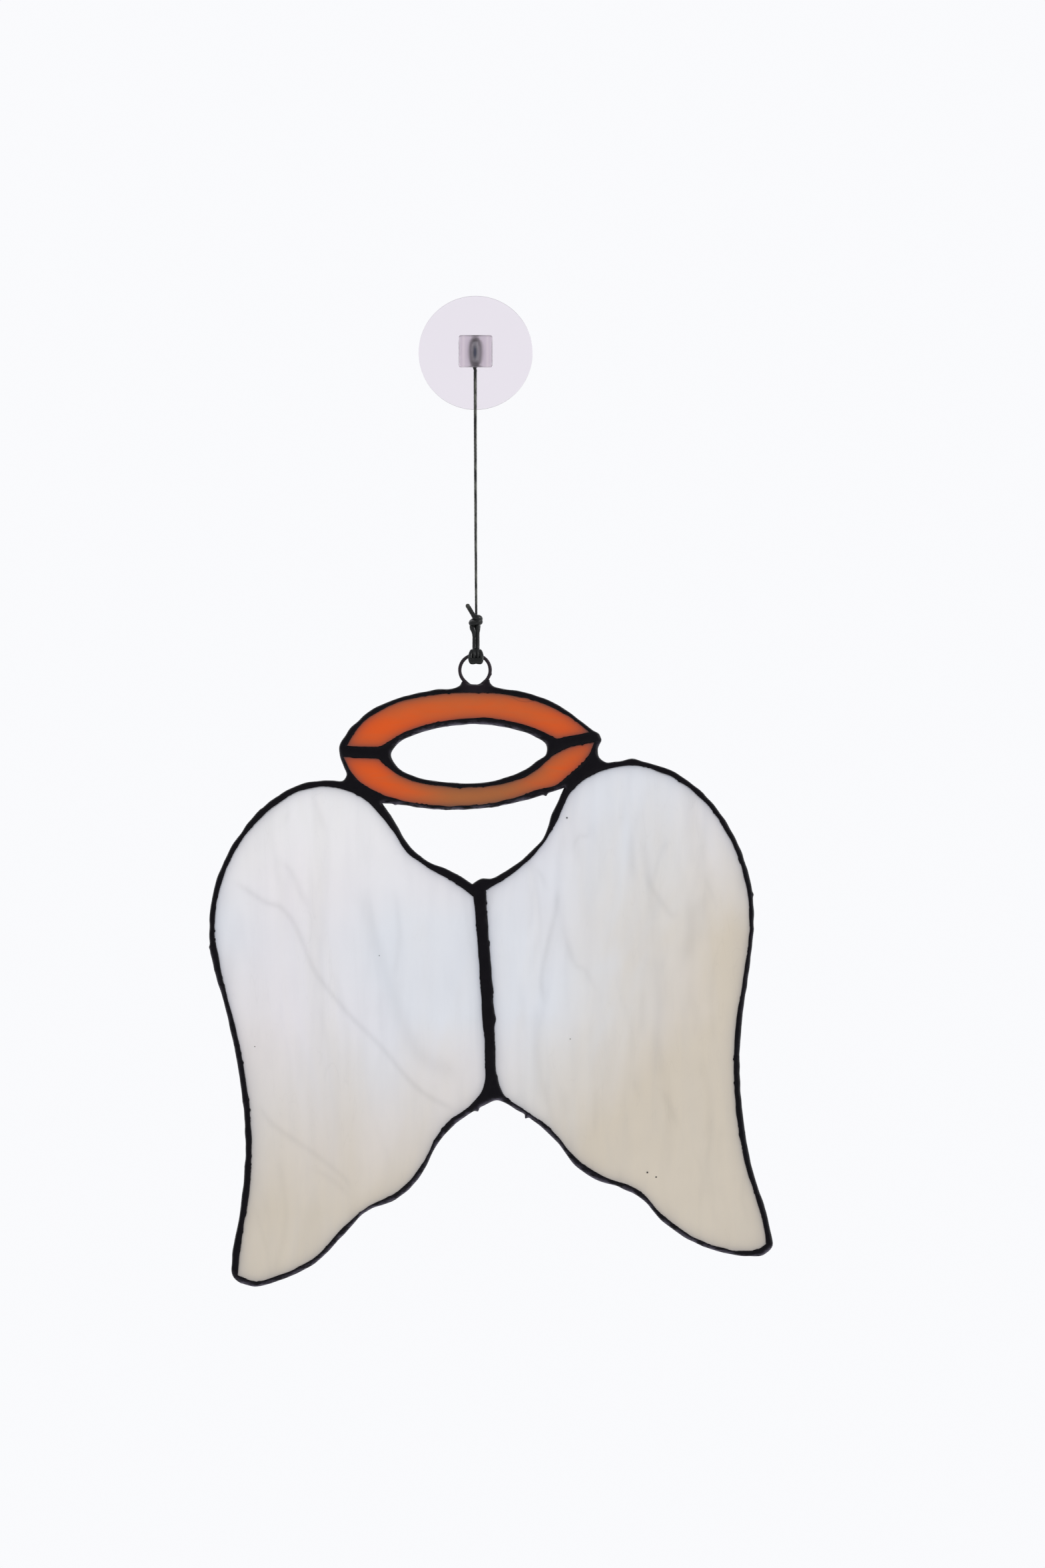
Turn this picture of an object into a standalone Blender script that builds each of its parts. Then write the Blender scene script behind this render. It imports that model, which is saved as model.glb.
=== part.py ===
"""Stained glass suncatcher: two wings under a halo, hung on a cord from a clear window hanger.

Metres, +Z up. The viewer looks along +Y and the window is at y = 0, so the object lies on the
-Y side. The origin is the centre of the hanger's back face, which sticks to the window.
The outlines are in millimetres, x to the right and z up, from the centre of the hanging ring.
"""

import math

import bmesh
import bpy
import numpy as np
from mathutils import Matrix, Vector

MM = 0.001

# Gaps that keep neighbouring pieces apart
FIT_GAP = 0.25 * MM
CORD_GAP = 0.3 * MM

# Glass panel
GLASS_THICKNESS = 2.8 * MM
LATTICE_THICKNESS = 4.6 * MM
FOIL_LIP = 0.4 * MM
SOLDER_CHAMFER = 0.35 * MM
PANEL_Y = -3.35 * MM
MOST_TURN = math.radians(15)
MOST_SAG = 0.07 * MM

# Hanging ring, whose centre is the panel's reference point
RING_DIAMETER = 9.5 * MM
RING_WIRE = 1.0 * MM
RING_X = -0.15 * MM
RING_Z = -89.3 * MM

# Window hanger
DISC_DIAMETER = 32.0 * MM
DISC_THICKNESS = 1.4 * MM
DISC_EDGE = 0.35 * MM
NECK_WIDTH = 1.2 * MM
NECK_HEIGHT = 5.3 * MM
NECK_LENGTH = 3.9 * MM
NECK_EDGE = 0.5 * MM
HEAD_WIDTH = 9.4 * MM
HEAD_HEIGHT = 9.0 * MM
HEAD_THICKNESS = 2.2 * MM
HEAD_EDGE = 0.6 * MM

# Cord
CORD_DIAMETER = 0.9 * MM
LOOP_HALF_WIDTH = 1.45 * MM
LOOP_TOP = 3.6 * MM
LOOP_FOOT = -4.4 * MM
KNOT_TOP = -73.6 * MM
KNOT_FOOT = -78.5 * MM
KNOT_WIDTH = 3.9 * MM
KNOT_DEPTH = 3.3 * MM
TAIL_LENGTH = 4.6 * MM
TAIL_LEAN = math.radians(33)
SHANK_WIDTH = 1.95 * MM
SHANK_X = 0.07 * MM
HITCH_TOP = -83.2 * MM
HITCH_FOOT = -87.7 * MM
HITCH_WIDTH = 4.4 * MM
HITCH_DEPTH = 3.4 * MM

CORNER = "corner"

# The whole panel's outer edge, clockwise from the left foot of the ring's solder mound
PANEL_OUTLINE = [
    (-4.2, -4.2, CORNER), (4.2, -3.7, CORNER), (5.0, -4.5), (6.4, -5.0), (9.8, -5.5), (16.6, -7.0),
    (22.4, -9.4), (27.6, -12.8), (32.8, -16.8), (34.7, -18.1), (35.0, -19.8), (34.3, -22.2),
    (34.6, -24.3), (36.6, -25.8), (39.5, -25.7), (44.5, -24.9), (47.2, -25.7), (54.0, -27.8),
    (61.3, -32.4), (67.7, -39.0), (72.8, -47.3), (76.6, -57.7), (77.9, -66.7), (77.8, -72.8),
    (76.6, -83.9), (74.8, -96.3), (73.9, -109.3), (74.6, -122.8), (78.0, -141.8), (81.2, -151.4),
    (82.3, -156.4), (83.0, -161.3), (80.9, -163.5), (76.2, -164.1), (69.8, -163.2), (60.5, -159.9),
    (52.3, -154.3), (45.9, -147.6), (40.2, -144.8), (34.0, -142.8), (28.4, -139.2), (22.9, -132.3),
    (17.6, -127.3), (11.6, -123.2), (6.0, -120.6), (1.7, -122.3), (-3.0, -125.2), (-7.9, -129.3),
    (-11.3, -133.9), (-15.4, -141.7), (-21.9, -148.0), (-30.5, -151.6), (-37.2, -158.5),
    (-45.1, -166.2), (-53.9, -170.5), (-62.9, -172.4), (-67.7, -169.9), (-68.1, -165.7),
    (-66.1, -153.5), (-64.3, -133.5), (-66.2, -112.8), (-70.2, -93.9), (-74.1, -79.3),
    (-74.5, -71.0), (-72.8, -59.9), (-67.0, -47.5), (-57.4, -36.7), (-47.9, -31.7), (-40.0, -30.9),
    (-36.9, -30.9), (-36.1, -29.5), (-36.8, -27.3), (-38.1, -23.7), (-38.3, -22.2), (-36.2, -18.0),
    (-29.9, -11.7), (-20.4, -7.5), (-11.0, -5.5), (-5.3, -4.7),
]

# The open centre of the halo
HALO_HOLE = [
    (-23.6, -23.7), (-21.8, -20.7), (-17.1, -18.2), (-9.4, -16.1), (-0.7, -15.2), (9.8, -16.4),
    (16.6, -18.7), (19.9, -21.3), (19.8, -23.4), (16.9, -25.8), (13.9, -27.8), (8.4, -30.2),
    (0.2, -31.7), (-9.4, -31.3), (-17.1, -29.8), (-21.9, -27.1),
]

# The open space between the halo and the wings' shoulders
SHOULDER_GAP = [
    (-26.0, -37.4, CORNER), (-21.4, -37.7), (-14.3, -38.8), (-5.3, -39.2), (5.7, -38.3),
    (16.1, -35.9), (24.8, -33.0, CORNER), (21.4, -40.5), (18.9, -47.1), (14.8, -51.6), (9.1, -55.9),
    (4.4, -58.4), (1.6, -58.5), (-0.9, -59.9, CORNER), (-7.1, -56.2), (-13.7, -53.4),
    (-18.6, -49.1), (-22.7, -42.3),
]

# What shows of each sheet of glass, inside the foil's lip
LEFT_WING = [
    (-0.5, -63.6, CORNER), (0.7, -78.0), (1.8, -95.2), (2.7, -110.4), (2.4, -116.3),
    (-1.4, -122.0), (-7.0, -125.9), (-11.0, -130.9), (-15.0, -138.6), (-21.6, -145.9),
    (-30.2, -150.4), (-37.5, -156.6), (-44.0, -163.7), (-54.3, -169.2), (-62.2, -171.0),
    (-66.4, -169.4, CORNER), (-65.6, -161.4), (-63.0, -144.2), (-62.7, -128.5), (-65.6, -106.9),
    (-71.4, -83.0), (-73.0, -72.6), (-71.3, -60.5), (-64.8, -46.9), (-56.1, -38.1), (-49.3, -34.0),
    (-41.6, -32.8), (-33.2, -35.0), (-26.6, -40.7), (-23.1, -45.3), (-19.1, -51.1), (-13.7, -55.2),
    (-7.1, -58.9),
]
RIGHT_WING = [
    (2.9, -61.8, CORNER), (9.1, -58.0), (17.4, -50.7), (22.6, -42.8), (27.3, -33.5), (35.0, -28.5),
    (45.0, -26.9), (53.1, -29.2), (62.6, -35.5), (70.7, -46.4), (75.9, -61.3), (76.7, -71.0),
    (74.9, -86.4), (72.8, -99.7), (72.4, -116.8), (75.5, -138.6), (79.4, -151.1), (80.4, -154.9),
    (81.2, -160.7, CORNER), (79.1, -162.1), (73.2, -162.5), (62.7, -159.6), (52.7, -152.9),
    (45.2, -145.4), (35.8, -141.8), (28.7, -137.2), (20.7, -128.2), (13.6, -123.1), (8.0, -119.0),
    (6.0, -113.5), (5.5, -105.2), (5.0, -91.3), (3.8, -76.1),
]
HALO_UPPER = [
    (-36.2, -21.4, CORNER), (-31.5, -14.8), (-22.4, -9.4), (-13.0, -7.2), (-2.0, -6.4), (8.4, -6.9),
    (17.7, -9.0), (26.2, -13.1), (31.9, -17.5, CORNER), (22.9, -19.3, CORNER), (13.9, -15.5),
    (4.3, -13.6), (-7.5, -14.2), (-18.4, -16.9), (-26.6, -21.6, CORNER),
]
HALO_LOWER = [
    (-37.0, -24.4, CORNER), (-27.1, -25.0, CORNER), (-20.9, -29.8), (-10.2, -32.5), (1.2, -32.8),
    (9.8, -31.4), (16.6, -28.5), (21.7, -24.0), (27.0, -21.6), (33.3, -20.3, CORNER),
    (31.3, -24.4), (25.4, -30.0, CORNER), (24.0, -31.4), (16.6, -33.9), (8.4, -36.6),
    (-2.5, -38.1), (-14.3, -37.7), (-25.8, -35.0), (-33.2, -30.6),
]

PARTS = "stained_glass_suncatcher"
CUTTERS = "cutters"


def clear_scene():
    for obj in list(bpy.data.objects):
        bpy.data.objects.remove(obj)


def collection(name):
    made = bpy.data.collections.new(name)
    bpy.context.scene.collection.children.link(made)
    return made


def material(name, colour, roughness, metallic=0.0, transmission=0.0):
    made = bpy.data.materials.new(name)
    made.use_nodes = True
    shader = made.node_tree.nodes["Principled BSDF"]
    shader.inputs["Base Color"].default_value = (*colour, 1.0)
    shader.inputs["Roughness"].default_value = roughness
    shader.inputs["Metallic"].default_value = metallic
    shader.inputs["Transmission Weight"].default_value = transmission
    made.diffuse_color = (*colour, 1.0)
    return made


def add_object(name, data, group, finish=None):
    obj = bpy.data.objects.new(name, data)
    group.objects.link(obj)
    if finish is not None:
        data.materials.append(finish)
    return obj


def mesh_object(name, shape, group, finish=None):
    """An object from a bmesh, which is freed."""
    bmesh.ops.recalc_face_normals(shape, faces=shape.faces)
    data = bpy.data.meshes.new(name)
    shape.to_mesh(data)
    shape.free()
    data.shade_smooth()
    data.set_sharp_from_angle(angle=math.radians(25))
    return add_object(name, data, group, finish)


def make_cutter(obj):
    obj.hide_render = True
    obj.display_type = "WIRE"
    return obj


def boolean(obj, other, operation="DIFFERENCE"):
    modifier = obj.modifiers.new(other.name, "BOOLEAN")
    modifier.operation = operation
    modifier.solver = "EXACT"
    modifier.object = other


def turn_between(a, b):
    return math.acos(max(-1.0, min(1.0, float(a @ b))))


def smooth_loop(outline):
    """Points along the closed curve through an outline's points, more of them where it turns.

    They are near enough for no straight piece to turn, or to stray from the curve, more than
    MOST_TURN and MOST_SAG allow.

    Each stretch is a cubic whose end tangents follow the neighbouring points. At a corner the
    tangent is free, so the outline may turn sharply there.
    """
    points = np.array([place[:2] for place in outline]) * MM
    corner = [len(place) > 2 for place in outline]
    ahead = np.roll(points, -1, axis=0) - points
    reach = np.linalg.norm(ahead, axis=1)
    ahead /= reach[:, None]
    behind = np.roll(ahead, 1, axis=0)
    before = np.roll(reach, 1)
    tangent = (behind * reach[:, None] + ahead * before[:, None]) / (reach + before)[:, None]
    made = []
    for i, start in enumerate(points):
        j = (i + 1) % len(points)
        first = ahead[i] if corner[i] else tangent[i]
        last = ahead[i] if corner[j] else tangent[j]
        if corner[i] and not corner[j]:
            first = 1.5 * ahead[i] - 0.5 * last
        if corner[j] and not corner[i]:
            last = 1.5 * ahead[i] - 0.5 * first
        chord = ahead[i]
        turn = turn_between(first / np.linalg.norm(first), chord)
        turn += turn_between(chord, last / np.linalg.norm(last))
        sag = reach[i] * turn / 8
        count = max(1, math.ceil(turn / MOST_TURN), math.ceil(math.sqrt(sag / MOST_SAG)))
        t = (np.arange(count) / count)[:, None]
        made.append(
            (2 * t**3 - 3 * t**2 + 1) * start
            + (t**3 - 2 * t**2 + t) * reach[i] * first
            + (3 * t**2 - 2 * t**3) * points[j]
            + (t**3 - t**2) * reach[i] * last
        )
    return np.concatenate(made)


def grown(loop, distance):
    """The clockwise loop moved outwards by a distance, or inwards by a negative one."""
    ahead = np.roll(loop, -1, axis=0) - loop
    ahead /= np.linalg.norm(ahead, axis=1)[:, None]
    outwards = np.stack([-ahead[:, 1], ahead[:, 0]], axis=1)
    both = outwards + np.roll(outwards, 1, axis=0)
    return loop + both / np.linalg.norm(both, axis=1)[:, None] * distance


def flat_curve(name, loops, thickness, chamfer=0.0):
    """A 2D curve data block: the first loop filled, the others left open, given a thickness."""
    data = bpy.data.curves.new(name, "CURVE")
    data.dimensions = "2D"
    data.fill_mode = "BOTH"
    data.extrude = thickness / 2 - chamfer
    data.bevel_depth = chamfer
    data.bevel_resolution = 0
    data.offset = -chamfer
    for loop in loops:
        spline = data.splines.new("POLY")
        spline.points.add(len(loop) - 1)
        for point, (x, z) in zip(spline.points, loop):
            point.co = (x, z, 0.0, 1.0)
        spline.use_cyclic_u = True
    return data


def stand_up(obj, z=RING_Z):
    """Turns a curve drawn flat so that its Y is the world's Z, and puts it in the panel's plane."""
    obj.rotation_euler = (math.pi / 2, 0.0, 0.0)
    obj.location = (0.0, PANEL_Y, z)
    return obj


def as_mesh(obj, group, finish=None):
    """The curve object as a welded mesh object of the same name and place."""
    bpy.context.view_layer.update()
    graph = bpy.context.evaluated_depsgraph_get()
    data = bpy.data.meshes.new_from_object(obj.evaluated_get(graph))
    place = obj.matrix_world.copy()
    name = obj.name
    bpy.data.objects.remove(obj)
    shape = bmesh.new()
    shape.from_mesh(data)
    bmesh.ops.remove_doubles(shape, verts=shape.verts, dist=1e-6)
    bmesh.ops.recalc_face_normals(shape, faces=shape.faces)
    shape.to_mesh(data)
    shape.free()
    data.materials.clear()
    made = add_object(name, data, group, finish)
    made.matrix_world = place
    return made


def glass_piece(name, outline, group, finish):
    loop = grown(smooth_loop(outline), FOIL_LIP)
    return stand_up(add_object(name, flat_curve(name, [loop], GLASS_THICKNESS), group, finish))


def pocket(name, outline, group):
    """The room that a glass piece takes in the lattice, with its gap all round."""
    loop = grown(smooth_loop(outline), FOIL_LIP + FIT_GAP)
    data = flat_curve(name, [loop], GLASS_THICKNESS + 2 * FIT_GAP)
    return make_cutter(as_mesh(stand_up(add_object(name, data, group)), group))


def wire_ring(name, wire, group, finish=None):
    """A ring of round wire that stands in the panel's plane."""
    radius = (RING_DIAMETER - RING_WIRE) / 2
    bpy.ops.mesh.primitive_torus_add(
        major_radius=radius,
        minor_radius=wire / 2,
        major_segments=36,
        minor_segments=8,
        location=(RING_X, PANEL_Y, RING_Z),
        rotation=(math.pi / 2, 0.0, 0.0),
    )
    made = bpy.context.object
    made.name = name
    made.data.shade_smooth()
    for old in list(made.users_collection):
        old.objects.unlink(made)
    group.objects.link(made)
    if finish is not None:
        made.data.materials.append(finish)
    return made


def solder_lattice(parts, cutters, finish):
    """Foil and solder in one piece, with its openings, the glass pockets and the ring's groove."""
    openings = [HALO_HOLE, SHOULDER_GAP, LEFT_WING, RIGHT_WING, HALO_UPPER, HALO_LOWER]
    loops = [smooth_loop(PANEL_OUTLINE)] + [smooth_loop(outline)[::-1] for outline in openings]
    data = flat_curve("solder_lattice", loops, LATTICE_THICKNESS, SOLDER_CHAMFER)
    lattice = as_mesh(stand_up(add_object("solder_lattice", data, parts)), parts, finish)
    for name, outline in GLASS.items():
        boolean(lattice, pocket(name + "_pocket", outline, cutters))
    boolean(lattice, make_cutter(wire_ring("ring_groove", RING_WIRE + 2 * FIT_GAP, cutters)))
    return lattice


def box(size, centre, edge=0.0, segments=2):
    """A bmesh box with rounded edges."""
    shape = bmesh.new()
    place = Matrix.Translation(centre) @ Matrix.Diagonal((*size, 1.0))
    bmesh.ops.create_cube(shape, size=1.0, matrix=place)
    if edge:
        bmesh.ops.bevel(
            shape, geom=shape.edges[:], offset=edge, segments=segments, profile=0.5, affect="EDGES"
        )
    return shape


def cylinder(radius, start, end, sides=12):
    """A bmesh cylinder from one point to another."""
    start, end = Vector(start), Vector(end)
    axis = end - start
    place = Matrix.Translation((start + end) / 2) @ axis.to_track_quat("Z", "Y").to_matrix().to_4x4()
    shape = bmesh.new()
    bmesh.ops.create_cone(
        shape,
        cap_ends=True,
        segments=sides,
        radius1=radius,
        radius2=radius,
        depth=axis.length,
        matrix=place,
    )
    return shape


def window_hanger(parts, cutters, finish):
    """A clear moulding: the disc on the window, the neck that the cord hangs on, and the head."""
    disc = cylinder(DISC_DIAMETER / 2, (0, 0, 0), (0, -DISC_THICKNESS, 0), sides=64)
    rim = [
        edge
        for edge in disc.edges
        if all(abs(vert.co.y + DISC_THICKNESS) < DISC_THICKNESS / 4 for vert in edge.verts)
    ]
    bmesh.ops.bevel(disc, geom=rim, offset=DISC_EDGE, segments=2, profile=0.5, affect="EDGES")
    hanger = mesh_object("window_hanger", disc, parts, finish)
    overlap = 0.7 * MM
    neck_size = (NECK_WIDTH, NECK_LENGTH + 2 * overlap, NECK_HEIGHT)
    neck = box(neck_size, (0, -DISC_THICKNESS - NECK_LENGTH / 2, 0), NECK_EDGE)
    head_y = -DISC_THICKNESS - NECK_LENGTH - HEAD_THICKNESS / 2
    head = box((HEAD_WIDTH, HEAD_THICKNESS, HEAD_HEIGHT), (0, head_y, 0), HEAD_EDGE)
    boolean(hanger, make_cutter(mesh_object("hanger_neck", neck, cutters)), "UNION")
    boolean(hanger, make_cutter(mesh_object("hanger_head", head, cutters)), "UNION")
    return hanger


def cord_route():
    """Places along the cord from the knot up to the hanger and round its neck, in metres."""
    y = PANEL_Y
    side = LOOP_HALF_WIDTH
    up = LOOP_TOP - LOOP_FOOT
    route = [
        (0.19 * MM, y, KNOT_TOP + CORD_GAP),
        (0.10 * MM, y, -60 * MM),
        (0.02 * MM, y, -45 * MM),
        (-0.04 * MM, y, -30 * MM),
        (-0.08 * MM, y, -15 * MM),
        (-0.10 * MM, y, LOOP_FOOT - 2 * MM),
        (-0.30 * side, y, LOOP_FOOT),
    ]
    left = [(0.8, 0.22), (1.0, 0.50), (0.92, 0.80), (0.55, 0.95), (0.0, 1.0)]
    right = [(-across, rise) for across, rise in left[-2::-1]]
    return route + [(-across * side, y, LOOP_FOOT + rise * up) for across, rise in left + right]


def curve_through(route, spacing):
    """Even places along the smooth curve through a route."""
    points = np.array(route)
    padded = np.concatenate([2 * points[:1] - points[1:2], points, 2 * points[-1:] - points[-2:-1]])
    steps = np.linspace(0, 1, 24, endpoint=False)[:, None]
    made = []
    for a, b, c, d in zip(padded, padded[1:], padded[2:], padded[3:]):
        made.append(
            b
            + 0.5 * steps * (c - a)
            + steps**2 * (a - 2.5 * b + 2 * c - 0.5 * d)
            + steps**3 * (1.5 * (b - c) + 0.5 * (d - a))
        )
    dense = np.concatenate(made + [points[-1:]])
    along = np.concatenate([[0], np.cumsum(np.linalg.norm(np.diff(dense, axis=0), axis=1))])
    wanted = np.linspace(0, along[-1], max(2, round(along[-1] / spacing)))
    return np.stack([np.interp(wanted, along, dense[:, i]) for i in range(3)], axis=1)


def cord_line(parts, finish):
    """The free cord, a tube from the knot to the end of its loop."""
    data = bpy.data.curves.new("cord_line", "CURVE")
    data.dimensions = "3D"
    data.bevel_depth = CORD_DIAMETER / 2
    data.bevel_resolution = 2
    data.use_fill_caps = True
    places = curve_through(cord_route(), 1.6 * CORD_DIAMETER)
    spline = data.splines.new("POLY")
    spline.points.add(len(places) - 1)
    for point, place in zip(spline.points, places):
        point.co = (*place, 1.0)
    return add_object("cord_line", data, parts, finish)


def cord_knot(parts, cutters, finish):
    """The overhand knot: a rounded body of two turns, and the short cut end that leans left."""
    centre_z = (KNOT_TOP + KNOT_FOOT) / 2
    height = KNOT_TOP - KNOT_FOOT
    place = Matrix.Translation((0.08 * MM, PANEL_Y, centre_z))
    turn = Matrix.Rotation(math.radians(18), 4, "Y")
    size = Matrix.Diagonal((KNOT_WIDTH, KNOT_DEPTH, height, 1.0))
    body = bmesh.new()
    bmesh.ops.create_uvsphere(body, u_segments=14, v_segments=9, radius=0.5, matrix=place @ turn @ size)
    knot = mesh_object("cord_knot", body, parts, finish)
    start = Vector((0.0, PANEL_Y, KNOT_TOP - 1.2 * MM))
    lean = Vector((-math.sin(TAIL_LEAN), 0.0, math.cos(TAIL_LEAN)))
    end = start + lean * TAIL_LENGTH
    tail = mesh_object("cord_tail", cylinder(CORD_DIAMETER / 2, start, end, sides=8), cutters)
    boolean(knot, make_cutter(tail), "UNION")
    return knot


def cord_hitch(parts, cutters, finish):
    """The doubled cord below the knot and the hitch that wraps the ring's wire."""
    height = HITCH_TOP - HITCH_FOOT
    centre = (SHANK_X, PANEL_Y, (HITCH_TOP + HITCH_FOOT) / 2)
    wrap = box((HITCH_WIDTH, HITCH_DEPTH, height), centre, 1.0 * MM, 3)
    hitch = mesh_object("cord_hitch", wrap, parts, finish)
    radius = SHANK_WIDTH / 4 + 0.02 * MM
    for side, name in ((-1, "left_strand"), (1, "right_strand")):
        x = SHANK_X + side * SHANK_WIDTH / 4
        foot = (x, PANEL_Y, HITCH_TOP - 0.5 * MM)
        top = (x, PANEL_Y, KNOT_FOOT - CORD_GAP)
        strand = mesh_object(name, cylinder(radius, foot, top, sides=8), cutters)
        boolean(hitch, make_cutter(strand), "UNION")
    boolean(hitch, make_cutter(wire_ring("ring_in_hitch", RING_WIRE + 2 * FIT_GAP, cutters)))
    return hitch


GLASS = {
    "left_wing_glass": LEFT_WING,
    "right_wing_glass": RIGHT_WING,
    "halo_upper_glass": HALO_UPPER,
    "halo_lower_glass": HALO_LOWER,
}


def main():
    clear_scene()
    parts = collection(PARTS)
    cutters = collection(CUTTERS)
    white = material("milky_white_glass", (0.78, 0.77, 0.82), 0.15, transmission=0.4)
    orange = material("orange_glass", (0.62, 0.10, 0.02), 0.12, transmission=0.5)
    patina = material("black_patina_solder", (0.02, 0.017, 0.025), 0.35, metallic=0.8)
    clear = material("clear_plastic", (0.80, 0.78, 0.86), 0.1, transmission=0.9)
    waxed = material("dark_waxed_cord", (0.015, 0.02, 0.017), 0.5)
    for name, outline in GLASS.items():
        glass_piece(name, outline, parts, white if "wing" in name else orange)
    solder_lattice(parts, cutters, patina)
    wire_ring("hanging_ring", RING_WIRE, parts, patina)
    window_hanger(parts, cutters, clear)
    cord_line(parts, waxed)
    cord_knot(parts, cutters, waxed)
    cord_hitch(parts, cutters, waxed)


main()
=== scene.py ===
# %% [markdown]
# # A stained glass suncatcher
# Two milky wings and an orange halo, cut from sheet glass. Copper foil wraps the edge of each
# piece, solder joins the foil, and a black patina darkens the solder. A wire ring, a waxed cord
# and a clear moulding hang the panel in a window. This lesson builds each of them as a surface
# worked out with numpy, on a frame of plain solids that gives every size and place.

# %% Load the frame
import math

import bpy
import numpy as np
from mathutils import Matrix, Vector
from mathutils.geometry import delaunay_2d_cdt


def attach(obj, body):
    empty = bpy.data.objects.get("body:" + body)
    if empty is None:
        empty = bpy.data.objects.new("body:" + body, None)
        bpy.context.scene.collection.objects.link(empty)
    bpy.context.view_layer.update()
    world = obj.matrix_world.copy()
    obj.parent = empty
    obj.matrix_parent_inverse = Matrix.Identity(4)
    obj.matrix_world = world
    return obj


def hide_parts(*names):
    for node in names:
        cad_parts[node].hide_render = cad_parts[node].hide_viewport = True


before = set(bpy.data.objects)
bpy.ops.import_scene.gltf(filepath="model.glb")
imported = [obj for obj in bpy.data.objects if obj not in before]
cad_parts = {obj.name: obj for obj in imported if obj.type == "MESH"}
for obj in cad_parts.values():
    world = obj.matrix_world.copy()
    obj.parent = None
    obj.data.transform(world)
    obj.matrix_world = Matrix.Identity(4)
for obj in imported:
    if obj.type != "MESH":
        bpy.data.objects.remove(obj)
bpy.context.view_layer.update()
scene = bpy.context.scene

# %% [markdown]
# ## The camera
# The photograph was taken with a long lens from a little below the panel, looking slightly up. A
# long lens is a small angle of view from far away, and it flattens depth, so the outlines can be
# compared with the picture almost as if they were a drawing. The lens length follows from the
# height that the picture has to cover at that distance.

# %% Camera
MM = 0.001
PANEL_Y = -3.35
AIM = Vector((0.01316, PANEL_Y * MM, -0.12125))
AWAY = 4.0
LOOKING_UP = math.radians(3.0)
HEIGHT_IN_VIEW = 0.4389
SENSOR = 36.0

optics = bpy.data.cameras.new("camera")
optics.sensor_width = SENSOR
optics.lens = SENSOR * AWAY / HEIGHT_IN_VIEW
camera = bpy.data.objects.new("camera", optics)
camera.location = AIM - AWAY * Vector((0.0, math.cos(LOOKING_UP), math.sin(LOOKING_UP)))
camera.rotation_euler = (AIM - camera.location).to_track_quat("-Z", "Y").to_euler()
scene.collection.objects.link(camera)
scene.camera = camera
print("lens, mm:", round(optics.lens, 1))

# %% [markdown]
# ## From arrays to meshes
# Every piece below is an array of places in millimetres and an array of faces. One helper turns
# them into an object that sits at the origin, with its place in its mesh, rides on the root body
# and hides the plain solid that it stands for. A piece may also carry fields: one number for each
# place, which its finish reads as an attribute.


# %% Mesh helpers
def grid_faces(rows, columns):
    """Four-sided faces of a grid numbered row by row, whose last column meets its first."""
    row = np.arange(rows - 1)[:, None] * columns
    column = np.arange(columns)[None, :]
    beside = (column + 1) % columns
    corners = [row + column, row + beside, row + columns + beside, row + columns + column]
    return np.stack(np.broadcast_arrays(*corners), axis=-1).reshape(-1, 4)


def fan_faces(ring, tip, outwards):
    """Triangles from a ring of places to one tip, turned the other way where outwards is false."""
    beside = np.roll(ring, -1)
    around = [ring, beside] if outwards else [beside, ring]
    return np.stack([*around, np.full(len(ring), tip)], axis=1)


def capped(rows, first_tip, last_tip):
    """Places and faces of rows of places, each a closed ring, with a fan to a tip at each end."""
    count, columns = rows.shape[:2]
    places = np.concatenate([rows.reshape(-1, 3), [first_tip], [last_tip]])
    first = np.arange(columns)
    last = first + (count - 1) * columns
    faces = grid_faces(count, columns).tolist()
    faces += fan_faces(first, len(places) - 2, False).tolist()
    faces += fan_faces(last, len(places) - 1, True).tolist()
    return places, faces


def piece(name, places, faces, stands_for, finish, sharp=None, **fields):
    """An object from places in millimetres, lists of faces and fields, riding on the root body."""
    data = bpy.data.meshes.new(name)
    data.from_pydata((np.asarray(places) * MM).tolist(), [], faces)
    data.update()
    data.shade_smooth()
    if sharp is not None:
        data.set_sharp_from_angle(angle=math.radians(sharp))
    for field, values in fields.items():
        data.attributes.new(field, "FLOAT", "POINT").data.foreach_set("value", values)
    made = bpy.data.objects.new(name, data)
    scene.collection.objects.link(made)
    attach(made, "root")
    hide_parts(stands_for)
    print(f"{name}: {len(data.vertices)} places, {len(data.polygons)} faces")
    return made


# %% [markdown]
# ## A cord is a profile carried along a path
# The hanging cord is three strands twisted together and waxed, under a millimetre thick. A round
# tube with a picture of a twist would look flat where the light grazes it, so the profile itself
# has three lobes, and the lobes turn as the profile moves along the path. The same helper makes
# the line, the knot and the hitch, because on the real object they are one cord.

# %% Path helpers
CURVE_STEPS = 24


def lengths_along(path):
    """The length of a path up to each of its places."""
    step = np.linalg.norm(np.diff(path, axis=0), axis=1)
    return np.concatenate([[0], np.cumsum(step)])


def evenly(path, count, endpoint=True):
    """A number of places at even lengths along a path, with its last end or without."""
    along = lengths_along(path)
    wanted = np.linspace(0, along[-1], count, endpoint=endpoint)
    return np.stack([np.interp(wanted, along, column) for column in path.T], axis=1)


def curve_through(route, spacing):
    """Even places along the smooth curve through a route, which is a Catmull-Rom spline."""
    points = np.array(route, float)
    padded = np.concatenate([2 * points[:1] - points[1:2], points, 2 * points[-1:] - points[-2:-1]])
    steps = np.linspace(0, 1, CURVE_STEPS, endpoint=False)[:, None]
    made = []
    for a, b, c, d in zip(padded, padded[1:], padded[2:], padded[3:]):
        made.append(
            b
            + 0.5 * steps * (c - a)
            + steps**2 * (a - 2.5 * b + 2 * c - 0.5 * d)
            + steps**3 * (1.5 * (b - c) + 0.5 * (d - a))
        )
    dense = np.concatenate(made + [points[-1:]])
    return evenly(dense, max(2, round(lengths_along(dense)[-1] / spacing)))


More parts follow.
